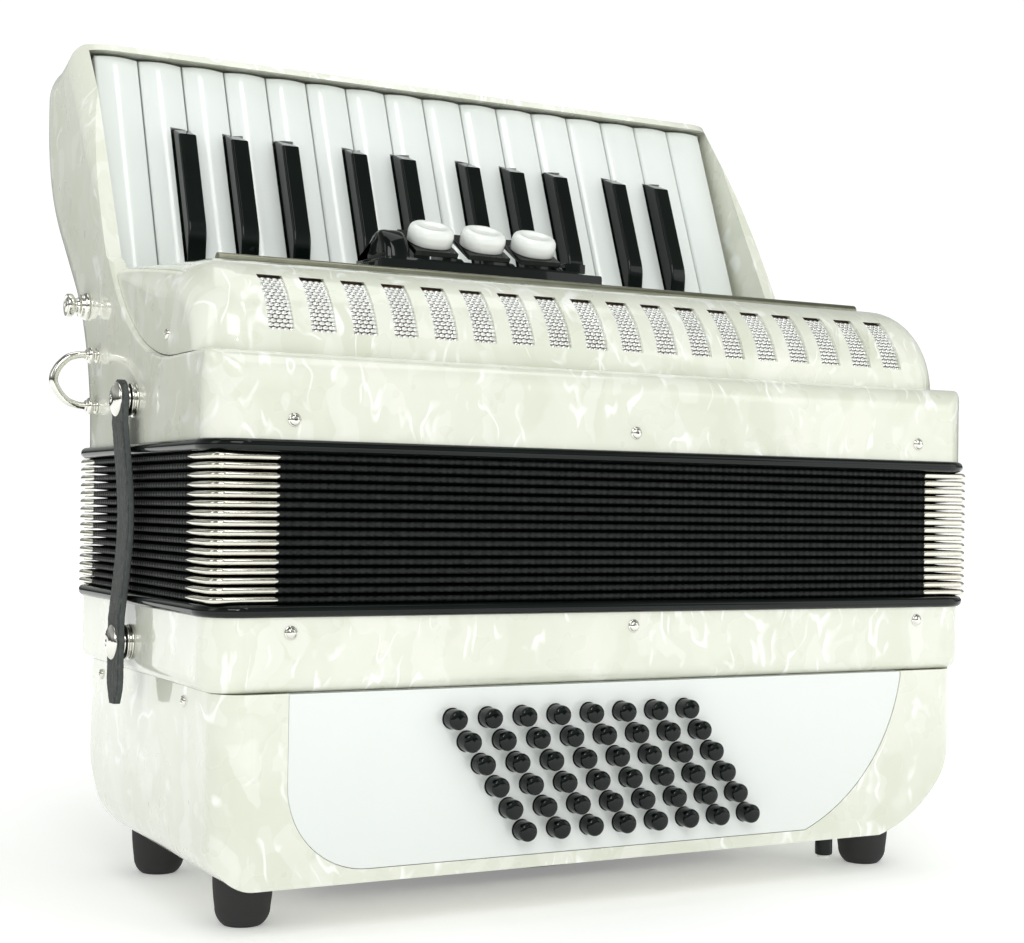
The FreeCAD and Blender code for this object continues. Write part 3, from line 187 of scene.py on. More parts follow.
def gloss(name, colour, shade, relief=0.02, patch=9.0, coat=0.6, reflect=0.5):
    """Polished plastic or lacquer: slow colour drift and a faint orange peel."""
    finish = Finish(name, Coat_Weight=coat, Coat_Roughness=0.03, Specular_IOR_Level=reflect)
    finish.feed(Base_Color=finish.ramp(finish.noise(patch, 3.0)[0], [(0.3, shade), (0.7, colour)]))
    finish.feed(Roughness=finish.ramp(finish.noise(45.0, 4.0)[0], [(0.3, 0.12), (0.75, 0.2)]))
    finish.feed(Normal=finish.bump(finish.noise(260.0, 3.0)[0], relief * MM, 0.6))
    return finish.material


def metal(name, colour, shade, rough=(0.08, 0.2), grain=(1.0, 1.0, 1.0), scale=500.0):
    """Plated or brushed metal; grain stretches the fine scratches."""
    finish = Finish(name, Metallic=1.0)
    finish.feed(Base_Color=finish.ramp(finish.noise(80.0, 3.0)[0], [(0.3, shade), (0.7, colour)]))
    lines = finish.noise(scale, 4.0, finish.stretched(grain))[0]
    finish.feed(Roughness=finish.ramp(lines, [(0.3, rough[0]), (0.75, rough[1])]))
    finish.feed(Normal=finish.bump(lines, 0.02 * MM, 0.5))
    return finish.material


def leatherette():
    """Black bellows tape: fine grain with a woven rib along the edges of the folds."""
    finish = Finish("leatherette", Specular_IOR_Level=0.22)
    ribs = finish.node("TexWave", {"Vector": finish.stretched((1.0, 1.0, 0.6), (0.0, 0.0, 0.78)),
                                   "Scale": 150.0, "Distortion": 2.5, "Detail": 2.0}).outputs["Color"]
    grain = finish.node("TexVoronoi", {"Vector": finish.place, "Scale": 1700.0}).outputs["Distance"]
    finish.feed(Base_Color=finish.ramp(finish.noise(320.0, 3.0)[0],
                                       [(0.3, (0.003, 0.004, 0.0035)), (0.75, (0.014, 0.018, 0.0165))]))
    finish.feed(Roughness=finish.ramp(grain, [(0.0, 0.32), (0.6, 0.55)]))
    woven = finish.bump(ribs, 0.5 * MM, 0.8)
    finish.feed(Normal=finish.bump(grain, 0.1 * MM, 0.6, woven))
    return finish.material


def pleat_cloth():
    """Dark paper-backed cloth deep between the folds."""
    finish = Finish("pleat_cloth", Specular_IOR_Level=0.2)
    threads = finish.node("TexVoronoi", {"Vector": finish.place, "Scale": 1300.0}).outputs["Distance"]
    finish.feed(Base_Color=finish.ramp(finish.noise(90.0, 4.0)[0],
                                       [(0.3, (0.010, 0.011, 0.012)), (0.7, (0.024, 0.025, 0.027))]))
    finish.feed(Roughness=finish.ramp(threads, [(0.0, 0.62), (0.7, 0.85)]))
    finish.feed(Normal=finish.bump(threads, 0.08 * MM, 0.5))
    return finish.material


def suede():
    """Grey-black napped leather: short fibres, paler where the nap lifts."""
    finish = Finish("suede", Specular_IOR_Level=0.15, Sheen_Weight=0.15, Sheen_Roughness=0.5)
    nap = finish.noise(620.0, 6.0, finish.stretched((1.0, 1.0, 0.5)), 0.7)[0]
    patches = finish.noise(160.0, 3.0)[0]
    fibre = finish.ramp(nap, [(0.30, (0.020, 0.023, 0.022)), (0.52, (0.042, 0.047, 0.044)),
                              (0.75, (0.12, 0.13, 0.124))])
    face = finish.mix(finish.ramp(patches, [(0.35, 0.0), (0.7, 0.45)]), fibre, (0.035, 0.04, 0.038))
    lean = finish.node("SeparateXYZ", {0: finish.node("TexCoord").outputs["Normal"]}).outputs["Y"]
    cut_edge = finish.ramp(finish.math("ABSOLUTE", lean), [(0.62, 0.0), (0.9, 0.35)])
    finish.feed(Base_Color=finish.mix(cut_edge, face, (0.17, 0.19, 0.19)))
    finish.feed(Roughness=finish.ramp(patches, [(0.3, 0.95), (0.7, 0.8)]))
    finish.feed(Normal=finish.bump(nap, 0.9 * MM, 0.9))
    return finish.material


def hide(name, colour, shade):
    """Grained strap leather with slightly polished high spots."""
    finish = Finish(name, Specular_IOR_Level=0.4)
    grain = finish.node("TexVoronoi", {"Vector": finish.place, "Scale": 900.0}).outputs["Distance"]
    finish.feed(Base_Color=finish.ramp(finish.noise(120.0, 4.0)[0], [(0.3, shade), (0.7, colour)]))
    finish.feed(Roughness=finish.ramp(grain, [(0.0, 0.36), (0.6, 0.62)]))
    finish.feed(Normal=finish.bump(grain, 0.15 * MM, 0.6))
    return finish.material


def bare_wood():
    """Plain spruce for the boards and reed blocks inside."""
    finish = Finish("bare_wood", Specular_IOR_Level=0.3)
    rings = finish.node("TexWave", {"Vector": finish.stretched((0.08, 1.0, 1.0)), "Scale": 70.0,
                                    "Distortion": 5.0, "Detail": 3.0, "Detail Scale": 1.4}).outputs["Color"]
    fibres = finish.noise(420.0, 4.0, finish.stretched((0.05, 1.0, 1.0)))[0]
    wood = finish.ramp(rings, [(0.0, (0.42, 0.27, 0.13)), (0.6, (0.60, 0.43, 0.24)),
                               (1.0, (0.66, 0.50, 0.30))])
    finish.feed(Base_Color=finish.mix(0.25, wood, finish.ramp(fibres, [(0.3, (0.3, 0.19, 0.09)),
                                                                       (0.7, (0.75, 0.6, 0.4))])))
    finish.feed(Roughness=finish.ramp(fibres, [(0.3, 0.5), (0.7, 0.7)]))
    finish.feed(Normal=finish.bump(fibres, 0.1 * MM, 0.5))
    return finish.material


PEARLOID = pearloid()
PANEL_WHITE = gloss("panel_white", (0.775, 0.80, 0.785), (0.75, 0.775, 0.76))
KEY_WHITE = gloss("key_white", (0.83, 0.86, 0.85), (0.79, 0.825, 0.81), 0.015, 22.0)
BLACK_GLOSS = gloss("black_gloss", (0.003, 0.0062, 0.0048), (0.0015, 0.003, 0.0024), 0.01, 40.0, 0.5, 0.06)
SWITCH_WHITE = gloss("switch_white", (0.87, 0.885, 0.865), (0.84, 0.86, 0.835), 0.01, 60.0)
CHROME = metal("chrome", (0.80, 0.79, 0.74), (0.70, 0.69, 0.64), (0.05, 0.14))
NICKEL = metal("nickel", (0.78, 0.76, 0.69), (0.66, 0.64, 0.56), (0.10, 0.22))
MESH_METAL = metal("mesh_metal", (0.96, 0.97, 0.95), (0.86, 0.87, 0.85), (0.22, 0.4))
TRIM_METAL = metal("trim_metal", (0.34, 0.345, 0.26), (0.25, 0.255, 0.185), (0.25, 0.42), (0.03, 1.0, 1.0))
STEEL = metal("steel", (0.60, 0.60, 0.61), (0.48, 0.48, 0.50), (0.15, 0.35), (0.03, 1.0, 1.0))
LEATHERETTE = leatherette()
PLEAT_CLOTH = pleat_cloth()
SUEDE = suede()
STRAP_HIDE = hide("strap_hide", (0.035, 0.034, 0.031), (0.016, 0.016, 0.015))
THREAD = hide("thread", (0.03, 0.03, 0.028), (0.015, 0.015, 0.014))
GRILLE_CLOTH = hide("grille_cloth", (0.085, 0.045, 0.028), (0.03, 0.016, 0.011))
WOOD = bare_wood()


# ---------------------------------------------------------------- mesh helpers

class Shape:
    """Points and faces of one piece, gathered ring by ring."""

    def __init__(self):
        self.points = []
        self.faces = []

    def rings(self, rings, closed=True, start_cap=True, end_cap=True, place=None):
        """Bridge rings of equal length; closed rings join their last point to their first."""
        first = len(self.points)
        count = len(rings[0])
        for ring in rings:
            for point in ring:
                point = Vector(point)
                self.points.append(place @ point if place else point)
        steps = count if closed else count - 1
        for row in range(len(rings) - 1):
            low = first + row * count
            for i in range(steps):
                j = (i + 1) % count
                self.faces.append((low + i, low + j, low + count + j, low + count + i))
        if start_cap:
            self.faces.append(tuple(reversed(range(first, first + count))))
        if end_cap:
            last = first + (len(rings) - 1) * count
            self.faces.append(tuple(range(last, last + count)))

    def lathe(self, profile, place, steps=32):
        """Turn (radius, height) points about the local Z axis."""
        rings = [[(r * math.cos(a), r * math.sin(a), z) for a in turns(steps)] for r, z in profile]
        self.rings(rings, place=place)

    def tube(self, path, radii, sides=12, caps=True):
        """A round bar along a path; radii is one number or one for each point."""
        if not isinstance(radii, (list, tuple)):
            radii = [radii] * len(path)
        rings = []
        for centre, radius, (side, up) in zip(path, radii, path_frames(path)):
            rings.append([centre + (side * math.cos(a) + up * math.sin(a)) * radius for a in turns(sides)])
        self.rings(rings, start_cap=caps, end_cap=caps)

    def prism(self, outline, levels, place=None):
        """A stack of one outline; levels are (height, inset), so that edges can be rounded."""
        self.rings([[(x, y, height) for x, y in inset_outline(outline, inset)] for height, inset in levels],
                   place=place)


def turns(count):
    """Evenly spaced angles round a circle."""
    return [2 * math.pi * i / count for i in range(count)]


def blunt(value, power=0.7):
    """A cosine or sine with flattened peaks, for squarish ovals."""
    return math.copysign(abs(value) ** power, value)


def path_frames(path):
    """Two directions square to a path at each point, carried along it without twist."""
    frames = []
    side = None
    for i in range(len(path)):
        ahead = path[min(i + 1, len(path) - 1)] - path[max(i - 1, 0)]
        ahead.normalize()
        if side is None:
            side = ahead.orthogonal().normalized()
        side = (side - ahead * side.dot(ahead)).normalized()
        frames.append((side, ahead.cross(side)))
    return frames


def inset_outline(outline, inset):
    """Move a closed anticlockwise outline inward by inset."""
    if abs(inset) < 1e-9:
        return outline
    moved = []
    for i, point in enumerate(outline):
        before = Vector(outline[i - 1])
        after = Vector(outline[(i + 1) % len(outline)])
        here = Vector(point)
        first = (here - before).normalized()
        second = (after - here).normalized()
        normal = Vector((-(first.y + second.y), first.x + second.x)).normalized()
        stretch = max(normal.dot(Vector((-first.y, first.x))), 0.4)
        moved.append(tuple(here + normal * inset / stretch))
    return moved


def edge_levels(low, high, radius, steps=4):
    """Levels of a prism whose two ends are rounded over."""
    curve = [(radius * (1 - math.cos(a)), radius * (1 - math.sin(a)))
             for a in [math.pi / 2 * i / steps for i in range(steps + 1)]]
    bottom = [(low + up, inward) for up, inward in curve]
    top = [(high - up, inward) for up, inward in reversed(curve)]
    return bottom + top


def rounded_rectangle(x_size, y_size, radius, steps=6, centre=(0.0, 0.0)):
    """Anticlockwise outline with round corners."""
    outline = []
    corners = ((1, 1, 0), (-1, 1, 90), (-1, -1, 180), (1, -1, 270))
    for x_sign, y_sign, start in corners:
        cx = centre[0] + x_sign * (x_size / 2 - radius)
        cy = centre[1] + y_sign * (y_size / 2 - radius)
        for i in range(steps + 1):
            a = math.radians(start + 90 * i / steps)
            outline.append((cx + radius * math.cos(a), cy + radius * math.sin(a)))
    return outline


def rounded_profile(points, radius, steps=4):
    """Round the inner corners of an open profile with short curves."""
    result = [points[0]]
    for before, here, after in zip(points, points[1:], points[2:]):
        before, here, after = Vector(before), Vector(here), Vector(after)
        reach = min(radius, (here - before).length * 0.45, (after - here).length * 0.45)
        start = here + (before - here).normalized() * reach
        end = here + (after - here).normalized() * reach
        for i in range(steps + 1):
            t = i / steps
            result.append(tuple(start * (1 - t) ** 2 + here * 2 * t * (1 - t) + end * t * t))
    result.append(points[-1])
    return result


def facing(origin, direction):
    """Matrix that puts local Z along a direction at a point."""
    turn = Vector(direction).to_track_quat("Z", "Y").to_matrix().to_4x4()
    return Matrix.Translation(Vector(origin)) @ turn


def make(name, shape, material, body=None, replaces=(), smooth=35.0):
    """Turn a shape into a Blender object that rides on a CAD body."""
    mesh = bpy.data.meshes.new(name)
    mesh.from_pydata([tuple(p) for p in shape.points], [], shape.faces)
    mesh.validate()
    mesh.materials.append(material)
    mesh.polygons.foreach_set("use_smooth", [True] * len(mesh.polygons))
    mesh.set_sharp_from_angle(angle=math.radians(smooth))
    piece = bpy.data.objects.new(name, mesh)
    bpy.context.scene.collection.objects.link(piece)
    if body:
        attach(piece, body)
    if replaces:
        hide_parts(*replaces)
    return piece


def paint(node, material):
    """Give a CAD node its finish."""
    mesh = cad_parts[node].data
    mesh.materials.clear()
    mesh.materials.append(material)


# ---------------------------------------------------------------- casework

def paint_frame():
    finishes = {
        PEARLOID: ["bass_shell", "bass_frame", "treble_case", "treble_grille"],
        PANEL_WHITE: ["bass_button_panel"],
        BLACK_GLOSS: ["bellows_frame_bass", "bellows_frame_treble", "register_base", "air_button"],
        TRIM_METAL: ["grille_trim"],
        STEEL: ["key_axle"],
        WOOD: ["bass_stem_guide", "bass_reed_unit", "treble_soundboard", "treble_reed_blocks", "key_bed"],
    }
    for material, names in finishes.items():
        for name in names:
            paint(name, material)
    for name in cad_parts:
        if name.startswith("white_key"):
            paint(name, KEY_WHITE)
        elif name.startswith("black_key"):
            paint(name, BLACK_GLOSS)
        elif name.startswith("register_switch"):
            paint(name, SWITCH_WHITE)


# ---------------------------------------------------------------- bass buttons

def bass_buttons():
    """Six rows of eight domed buttons on slim stems."""
    rows = ("counterbass", "fundamental", "major", "minor", "seventh", "diminished")
    per_row = 8
    for row in rows:
        low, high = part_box(row + "_buttons")
        radius = (high.z - low.z) / 2
        pitch = (high.x - low.x - 2 * radius) / (per_row - 1)
        head = 9.5 * MM
        stem = 1.2 * MM
        length = high.y - low.y
        profile = [(0.0, 0.0), (radius * 0.55, 0.12 * MM), (radius - 0.75 * MM, 0.35 * MM),
                   (radius - 0.25 * MM, 0.65 * MM), (radius, 1.3 * MM), (radius, head),
                   (stem, head + 0.4 * MM), (stem, length), (0.0, length)]
        shape = Shape()
        for i in range(per_row):
            at = (low.x + radius + pitch * i, low.y, (low.z + high.z) / 2)
            shape.lathe(rounded_profile(profile, 0.3 * MM, 2), facing(at, Y_AXIS), 36)
        make(row + "_button_caps", shape, BLACK_GLOSS, row + "_row", [row + "_buttons"])


# ---------------------------------------------------------------- bellows

def ring_outline(inset, corner, steps=6):
    """Plan of one turn of the bellows, inset from its widest line."""
    half_y = (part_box("bellows_folds")[1].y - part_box("bellows_folds")[0].y) / 2
    return rounded_rectangle(2 * (HALF_LENGTH - inset), 2 * (half_y - inset), corner, steps, (0.0, MIDDLE))


def pin_weight(piece, low, high):
    """Bake a piece's place into its mesh; the shares low (at start) and high (at end) of the bellows travel
    are worked out as blend places, but the piece is not made to follow the bellows.
    """
    def unsmooth(share):
        """Where along the blend its smooth turn reaches a share."""
        return 0.5 - math.sin(math.asin(1 - 2 * share) / 3)

    t_low, t_high = unsmooth(low), unsmooth(high)
    if t_high - t_low < 1e-9:
        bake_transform(piece)
        return
    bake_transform(piece)


def bellows():
    pitch = (BELLOWS_HIGH - BELLOWS_LOW) / FOLDS
    half = 1.02 * MM
    heights = [BELLOWS_LOW + pitch * (k + 0.5) for k in range(FOLDS)]
    shares = [(k + 0.5) / FOLDS for k in range(FOLDS)]
    lip = [(half * (1 - math.cos(a)), half * math.sin(a)) for a in
           [math.radians(-90 + 22.5 * i) for i in range(9)]]
    section = [(6 * MM, -0.5 * MM), (4 * MM, -half)] + lip + [(4 * MM, half), (6 * MM, 0.5 * MM)]
    for k, (z, share) in enumerate(zip(heights, shares)):
        shape = Shape()
        rings = [[(x, y, z + up) for x, y in ring_outline(inset, max(5 * MM - inset, 1 * MM))]
                 for inset, up in section]
        shape.rings(rings, start_cap=False, end_cap=False)
        name = f"bellows_edge_{k + 1:02d}"
        piece = make(name, shape, LEATHERETTE, smooth=60.0,
                     replaces=["bellows_folds"] if k == 0 else ())
        pin_weight(piece, share, share)
        caps = corner_caps(k + 1, z)
        pin_weight(caps, share, share)
    tops = [BELLOWS_LOW] + [z + half * 0.9 for z in heights]
    bottoms = [z - half * 0.9 for z in heights] + [BELLOWS_HIGH]
    for k, (start, end) in enumerate(zip(tops, bottoms)):
        shape = Shape()
        mouth = 2.5 * MM
        middle = (start + end) / 2
        folds = [(mouth, start), (9 * MM, middle), (mouth, end)]
        if k in (0, FOLDS):
            folds = [(mouth, start), (mouth + 1 * MM, middle), (mouth, end)]
        shape.rings([[(x, y, z) for x, y in ring_outline(inset, 2.5 * MM)] for inset, z in folds],
                    start_cap=False, end_cap=False)
        piece = make(f"bellows_pleat_{k + 1:02d}", shape, PLEAT_CLOTH, smooth=60.0)
        low = 0.0 if k == 0 else shares[k - 1]
        high = 1.0 if k == FOLDS else shares[k]
        pin_weight(piece, low, high)


def cap_stations(corner_x, corner_y, leg, turn):
    """Places along one corner cap, as x, y, outward angle and fullness; its ends are blunt."""
    along_x = [(0.0, 0.55), (0.35, 0.9), (1.0, 1.0)]
    along_y = [(5.0, 1.0), (2.0, 0.8), (0.0, 0.3)]
    end_x = corner_x - leg + turn
    end_y = corner_y - leg + turn
    stations = [(end_x + step * MM, corner_y + turn, 90, full) for step, full in along_x]
    for degrees in range(90, -1, -15):
        angle = math.radians(degrees)
        x, y = corner_x + turn * math.cos(angle), corner_y + turn * math.sin(angle)
        stations.append((x, y, degrees, 1.0))
    return stations + [(corner_x + turn, end_y + step * MM, 0, full) for step, full in along_y]


def corner_caps(number, z):
    """Four nickel channels that wrap the corners of one fold."""
    leg, turn = 23.6 * MM, 5 * MM
    half_y = (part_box("bellows_folds")[1].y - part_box("bellows_folds")[0].y) / 2
    mouth, lip, reach, width = 2.3 * MM, 0.95 * MM, 1.2 * MM, 1.17 * MM
    section = [(mouth, -1.12 * MM)]
    for degrees in range(0, 181, 15):
        angle = math.radians(degrees)
        section.append((lip - reach * math.sin(angle), -width * math.cos(angle)))
    section.append((mouth, 1.12 * MM))
    shape = Shape()
    for x_sign, y_sign in ((-1, -1), (-1, 1), (1, -1), (1, 1)):
        rings = []
        for x, y, degrees, full in cap_stations(HALF_LENGTH - turn, half_y - turn, leg, turn):
            nx, ny = math.cos(math.radians(degrees)), math.sin(math.radians(degrees))
            rings.append([(x_sign * (x - nx * inset), MIDDLE + y_sign * (y - ny * inset), z + up * full)
                          for inset, up in section])
        if x_sign * y_sign > 0:
            rings.reverse()
        shape.rings(rings, closed=False, start_cap=False, end_cap=False)
    return make(f"bellows_caps_{number:02d}", shape, NICKEL, smooth=50.0)


# ---------------------------------------------------------------- metal fittings

def round_profile(points, radius=0.35):
    """A turned profile in millimetres, softened and brought to metres."""
    return [(r * MM, z * MM) for r, z in rounded_profile(points, radius, 3)]


def cross_head(shape, place, radius, height, rim=0.0):
    """Domed screw head with a cross recess; sizes in millimetres."""
    steps, rows = 48, 14
    rings = [[(radius * MM * math.cos(a), radius * MM * math.sin(a), 0) for a in turns(steps)]]
    for row in range(rows):
        r = radius * (1 - row / rows)
        ring = []
        for a in turns(steps):
            x, y = r * math.cos(a), r * math.sin(a)
            up = rim + (height - rim) * math.sqrt(max(0.0, 1 - (r / radius) ** 2))
            arm = min(abs(x), abs(y))
            depth = max(0.0, min(1.0, (0.19 * radius - arm) / (0.07 * radius)))
            end = max(0.0, min(1.0, (0.62 * radius - r) / (0.1 * radius)))
            ring.append((x * MM, y * MM, (up - 0.45 * height * depth * end) * MM))
        rings.append(ring)
    shape.rings(rings, start_cap=False, place=place)


PIN = ((0, 0), (2.3, 0), (2.35, 0.35), (1.95, 0.55), (1.75, 0.95), (1.15, 1.38), (0.5, 1.5), (0, 1.5))
STUD = ((0, 0), (6.5, 0), (6.5, 0.8), (5.5, 1.0), (5.5, 1.5), (6.3, 1.7), (6.3, 2.5), (4.9, 2.7),
        (4.9, 3.5), (0, 3.5))
SNAP_CAP = ((6.35, 0), (6.35, 0.5), (5.9, 0.95), (4.6, 1.7), (2.9, 2.25), (1.5, 2.42), (1.15, 2.2),
            (0.95, 2.5), (0.35, 2.62), (0, 2.62))
LOOP_FOOT = ((0, 0), (3.0, 0), (3.0, 0.6), (2.1, 1.1), (2.0, 1.7), (3.0, 2.2), (3.4, 2.9), (3.0, 3.6),
             (2.1, 4.1), (2.3, 4.5), (1.7, 4.9), (0, 4.9))
KNOB = ((0, 0), (5.5, 0), (5.5, 1.2), (4.7, 1.9), (4.7, 3.3), (3.2, 3.7), (3.0, 5.6), (4.2, 5.9),
        (4.7, 6.5), (4.6, 8.4), (4.1, 8.7), (3.3, 8.2), (0, 8.0))

PIN_X = 132.5
STRAP_Y = -28.5
UPPER_STUD_Z, LOWER_STUD_Z = 181.5, 93.3
CASE_HALF = 160.5
SHELL_HALF = 156.5
STUD_HEIGHT = 3.7


def spot(x, y, z, direction):
    return facing((x * MM, y * MM, z * MM), direction)


def pin_rows(shape, z, back):
    """Domed pins along the front and back of one frame."""
    for x in (-PIN_X, 0.0, PIN_X):
        shape.lathe(round_profile(PIN, 0.25), spot(x, FRONT / MM, z, -Y_AXIS), 28)
        shape.lathe(round_profile(PIN, 0.25), spot(x, back, z, Y_AXIS), 28)


def bass_metal():
    shape = Shape()
    pin_rows(shape, 102.0, BACK / MM)
    for side in (-1, 1):
        out = X_AXIS * side
        shape.lathe(round_profile(STUD), spot(side * CASE_HALF, STRAP_Y, LOWER_STUD_Z, out), 48)
        for y in (-80.5, 22.6):
            cross_head(shape, spot(side * SHELL_HALF, y, 76.9, out), 2.0, 1.2, 0.25)
    plate_top, thick = 15.5, 2.0
    for x in (-103.0, 97.0):
        outline = rounded_rectangle(12.0 * MM, 64.0 * MM, 3.0 * MM, 5, (x * MM, -30.0 * MM))
        shape.prism(outline, edge_levels((plate_top - thick) * MM, plate_top * MM, 0.5 * MM))
        for y in (-50.0, -10.0):
            cross_head(shape, spot(x, y, plate_top - thick, -Z_AXIS), 2.4, 1.4, 0.3)
    make("bass_metal", shape, CHROME, "bass_section", ["bass_fittings"], 40.0)


def treble_metal():
    shape = Shape()
    pin_rows(shape, 172.0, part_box("treble_fittings")[1].y / MM - 1.5)
    for side in (-1, 1):
        out = X_AXIS * side
        shape.lathe(round_profile(STUD), spot(side * CASE_HALF, STRAP_Y, UPPER_STUD_Z, out), 48)
        cross_head(shape, spot(side * 159.0, -62.0, 203.0, out), 1.9, 1.1, 0.25)
        knob = spot(side * CASE_HALF, 40.0, 222.0, out)
        shape.lathe(round_profile(KNOB, 0.5), knob, 48)
        cross_head(shape, knob @ Matrix.Translation((0, 0, 8.0 * MM)), 2.9, 1.3, 0.2)
    make("treble_metal", shape, CHROME, "treble_section", ["treble_fittings"], 40.0)


def strap_loops():
    """Angular D-shaped wires, thicker in the middle, on turned feet."""
    shape = Shape()
    y, low, high = 23.5, 181.4, 201.3
    middle = (low + high) / 2
    corners = [(4.5, high), (7.6, high - 0.1), (11.6, high - 1.3), (15.0, high - 4.6), (17.0, middle + 1.6),
               (17.0, middle - 1.6), (15.0, low + 4.6), (11.6, low + 1.3), (7.6, low + 0.1), (4.5, low)]
    for side in (-1, 1):
        for z in (low, high):
            shape.lathe(round_profile(LOOP_FOOT), spot(side * CASE_HALF, y, z, X_AXIS * side), 40)
        path = [Vector((side * (CASE_HALF + out) * MM, y * MM, z * MM))
                for out, z in rounded_profile(corners, 1.6, 4)]
        radii = [(1.35 + 0.35 * math.sin(math.pi * i / (len(path) - 1))) * MM for i in range(len(path))]
        shape.tube(path, radii, 20)
    make("strap_loop_wires", shape, CHROME, "treble_section", ["strap_loops"], 50.0)


# ---------------------------------------------------------------- straps

BELLOWS_STRAP_FREE = (102.5, 172.5)


def strap_sag(z):
    """How far a bellows strap sags in towards the folds, in millimetres."""
    share = (z - BELLOWS_STRAP_FREE[0]) / (BELLOWS_STRAP_FREE[1] - BELLOWS_STRAP_FREE[0])
    return 1.75 * math.sin(math.pi * share) ** 0.8 if 0 < share < 1 else 0.0


def strap_drift(z):
    """How far a worn bellows strap wanders forward between its snaps, in millimetres."""
    share = (z - BELLOWS_STRAP_FREE[0]) / (BELLOWS_STRAP_FREE[1] - BELLOWS_STRAP_FREE[0])
    return 3.4 * math.sin(math.pi * share) ** 2 if 0 < share < 1 else 0.0


def strap_width(z, foot, head, half_wide):
    """Share of the full width at a height: a round head and a tapered tail."""
    from_head, from_foot = head - z, (z - foot) / 9.0
    up = math.sqrt(max(0.0, 1 - (1 - from_head / half_wide) ** 2)) if from_head < half_wide else 1.0
    down = 0.42 + 0.58 * math.sin(from_foot * math.pi / 2) if from_foot < 1 else 1.0
    return max(0.06, min(up, down))


def bellows_straps():
    """Napped leather straps with rounded tops, tapered tails and raised snap caps."""
    half_thick, half_wide, gap = 1.4, 7.4, 1.5
    foot, head, rows = 71.2, 188.7, 150
    for side, word in ((-1, "left"), (1, "right")):
        shape = Shape()
        rings = []
        for row in range(rows + 1):
            z = foot + (head - foot) * row / rows
            reach = half_wide * strap_width(z, foot, head, half_wide)
            centre = CASE_HALF + STUD_HEIGHT + gap - strap_sag(z)
            middle = STRAP_Y - strap_drift(z)
            ring = []
            for a in turns(36):
                across = blunt(math.cos(a), 0.35) * reach
                out = blunt(math.sin(a), 0.45) * half_thick
                fuzz = random.uniform(-0.09, 0.09)
                place = Vector((side * (centre + out + fuzz), middle + across * (1 + fuzz / 9), z))
                ring.append(place * MM)
            rings.append(ring)
        if side > 0:
            rings = [list(reversed(ring)) for ring in rings]
        shape.rings(rings)
        body = "bellows_strap_" + word
        make("strap_" + word, shape, SUEDE, body, [body], 70.0)
        caps = Shape()
        for z in (UPPER_STUD_Z, LOWER_STUD_Z):
            at = spot(side * (CASE_HALF + STUD_HEIGHT + 2.8), STRAP_Y, z, X_AXIS * side)
            caps.lathe(round_profile(SNAP_CAP, 0.3), at, 48)
        make("strap_caps_" + word, caps, CHROME, body, (), 50.0)


HAND_STRAP_Y = -30.0
HAND_STRAP_THICK = 2.4


def hand_strap_line(steps=80):
    """Middle of the hand strap's thickness, as points along X with their heights."""
    left, right, inner_left, inner_right = -113.0, 107.0, -93.0, 87.0
    top, sag, clearance = 18.0, 11.0, 0.05
    line = []
    for i in range(steps + 1):
        x = left + (right - left) * i / steps
        share = (x - inner_left) / (inner_right - inner_left)
        hang = sag * math.sin(math.pi * share) ** 1.1 if 0 < share < 1 else 0.0
        line.append((x, top - clearance - HAND_STRAP_THICK / 2 - hang))
    return line


def hand_strap():
    """Grained leather strap under the bass end, with a row of stitches along each edge."""
    wide, edge, seam = 59.0, 0.9, 3.0
    line = hand_strap_line()
    outline = rounded_rectangle(wide, HAND_STRAP_THICK, edge, 4, (HAND_STRAP_Y, 0.0))
    shape = Shape()
    shape.rings([[(x * MM, y * MM, (z + up) * MM) for y, up in outline] for x, z in line])
    make("hand_strap_leather", shape, STRAP_HIDE, "bass_section", ["hand_strap"], 50.0)
    stitches = Shape()
    for y in (HAND_STRAP_Y - wide / 2 + seam, HAND_STRAP_Y + wide / 2 - seam):
        for (x0, z0), (x1, z1) in zip(line[2:-2], line[3:-1]):
            stitch(stitches, Vector((x0, y, z0)), Vector((x1, y, z1)))
    make("hand_strap_stitches", stitches, THREAD, "bass_section", (), 70.0)


def stitch(shape, start, end):
    """One stitch on the lower face of the hand strap, most of the way from start to end."""
    share, sunk, bulge = 0.62, 0.02, 0.12
    down = Vector((0, 0, HAND_STRAP_THICK / 2 + sunk))
    first, last = start - down, start.lerp(end, share) - down
    middle = (first + last) / 2 - Vector((0, 0, bulge))
    shape.tube([first * MM, middle * MM, last * MM], [0.12 * MM, 0.24 * MM, 0.12 * MM], 6)


def air_button():
    """Black barrel with a pale tip under the shell, and the valve that it lifts."""
    x, y = 110.0, -88.5
    at = spot(x, y, 0.0, Z_AXIS)
    barrel = Shape()
    barrel.lathe(round_profile([(0, 5.9), (3.2, 5.9), (3.5, 6.3), (3.5, 20.6), (3.1, 21.0), (1.2, 21.0),
                                (1.2, 51.0), (9.0, 51.0), (9.0, 53.0), (0, 53.0)], 0.3), at, 36)
    make("air_barrel", barrel, BLACK_GLOSS, "air_release", ["air_button"])
    tip = Shape()
    tip.lathe(round_profile([(0, 4.5), (2.1, 4.5), (2.6, 4.9), (2.6, 6.0), (0, 6.0)], 0.3), at, 36)
    make("air_tip", tip, SWITCH_WHITE, "air_release")


# ---------------------------------------------------------------- grille mesh

GRILLE_CENTRE = Vector((0.0, -67.0, 194.0))
GRILLE_SURFACE = 35.0
SLOT_ANGLES = (124.6, 166.0)
SLOT_COUNT, SLOT_PITCH, SLOT_WIDTH = 18, 15.5, 9.1


def slot_places():
    return [(slot - (SLOT_COUNT - 1) / 2) * SLOT_PITCH for slot in range(SLOT_COUNT)]


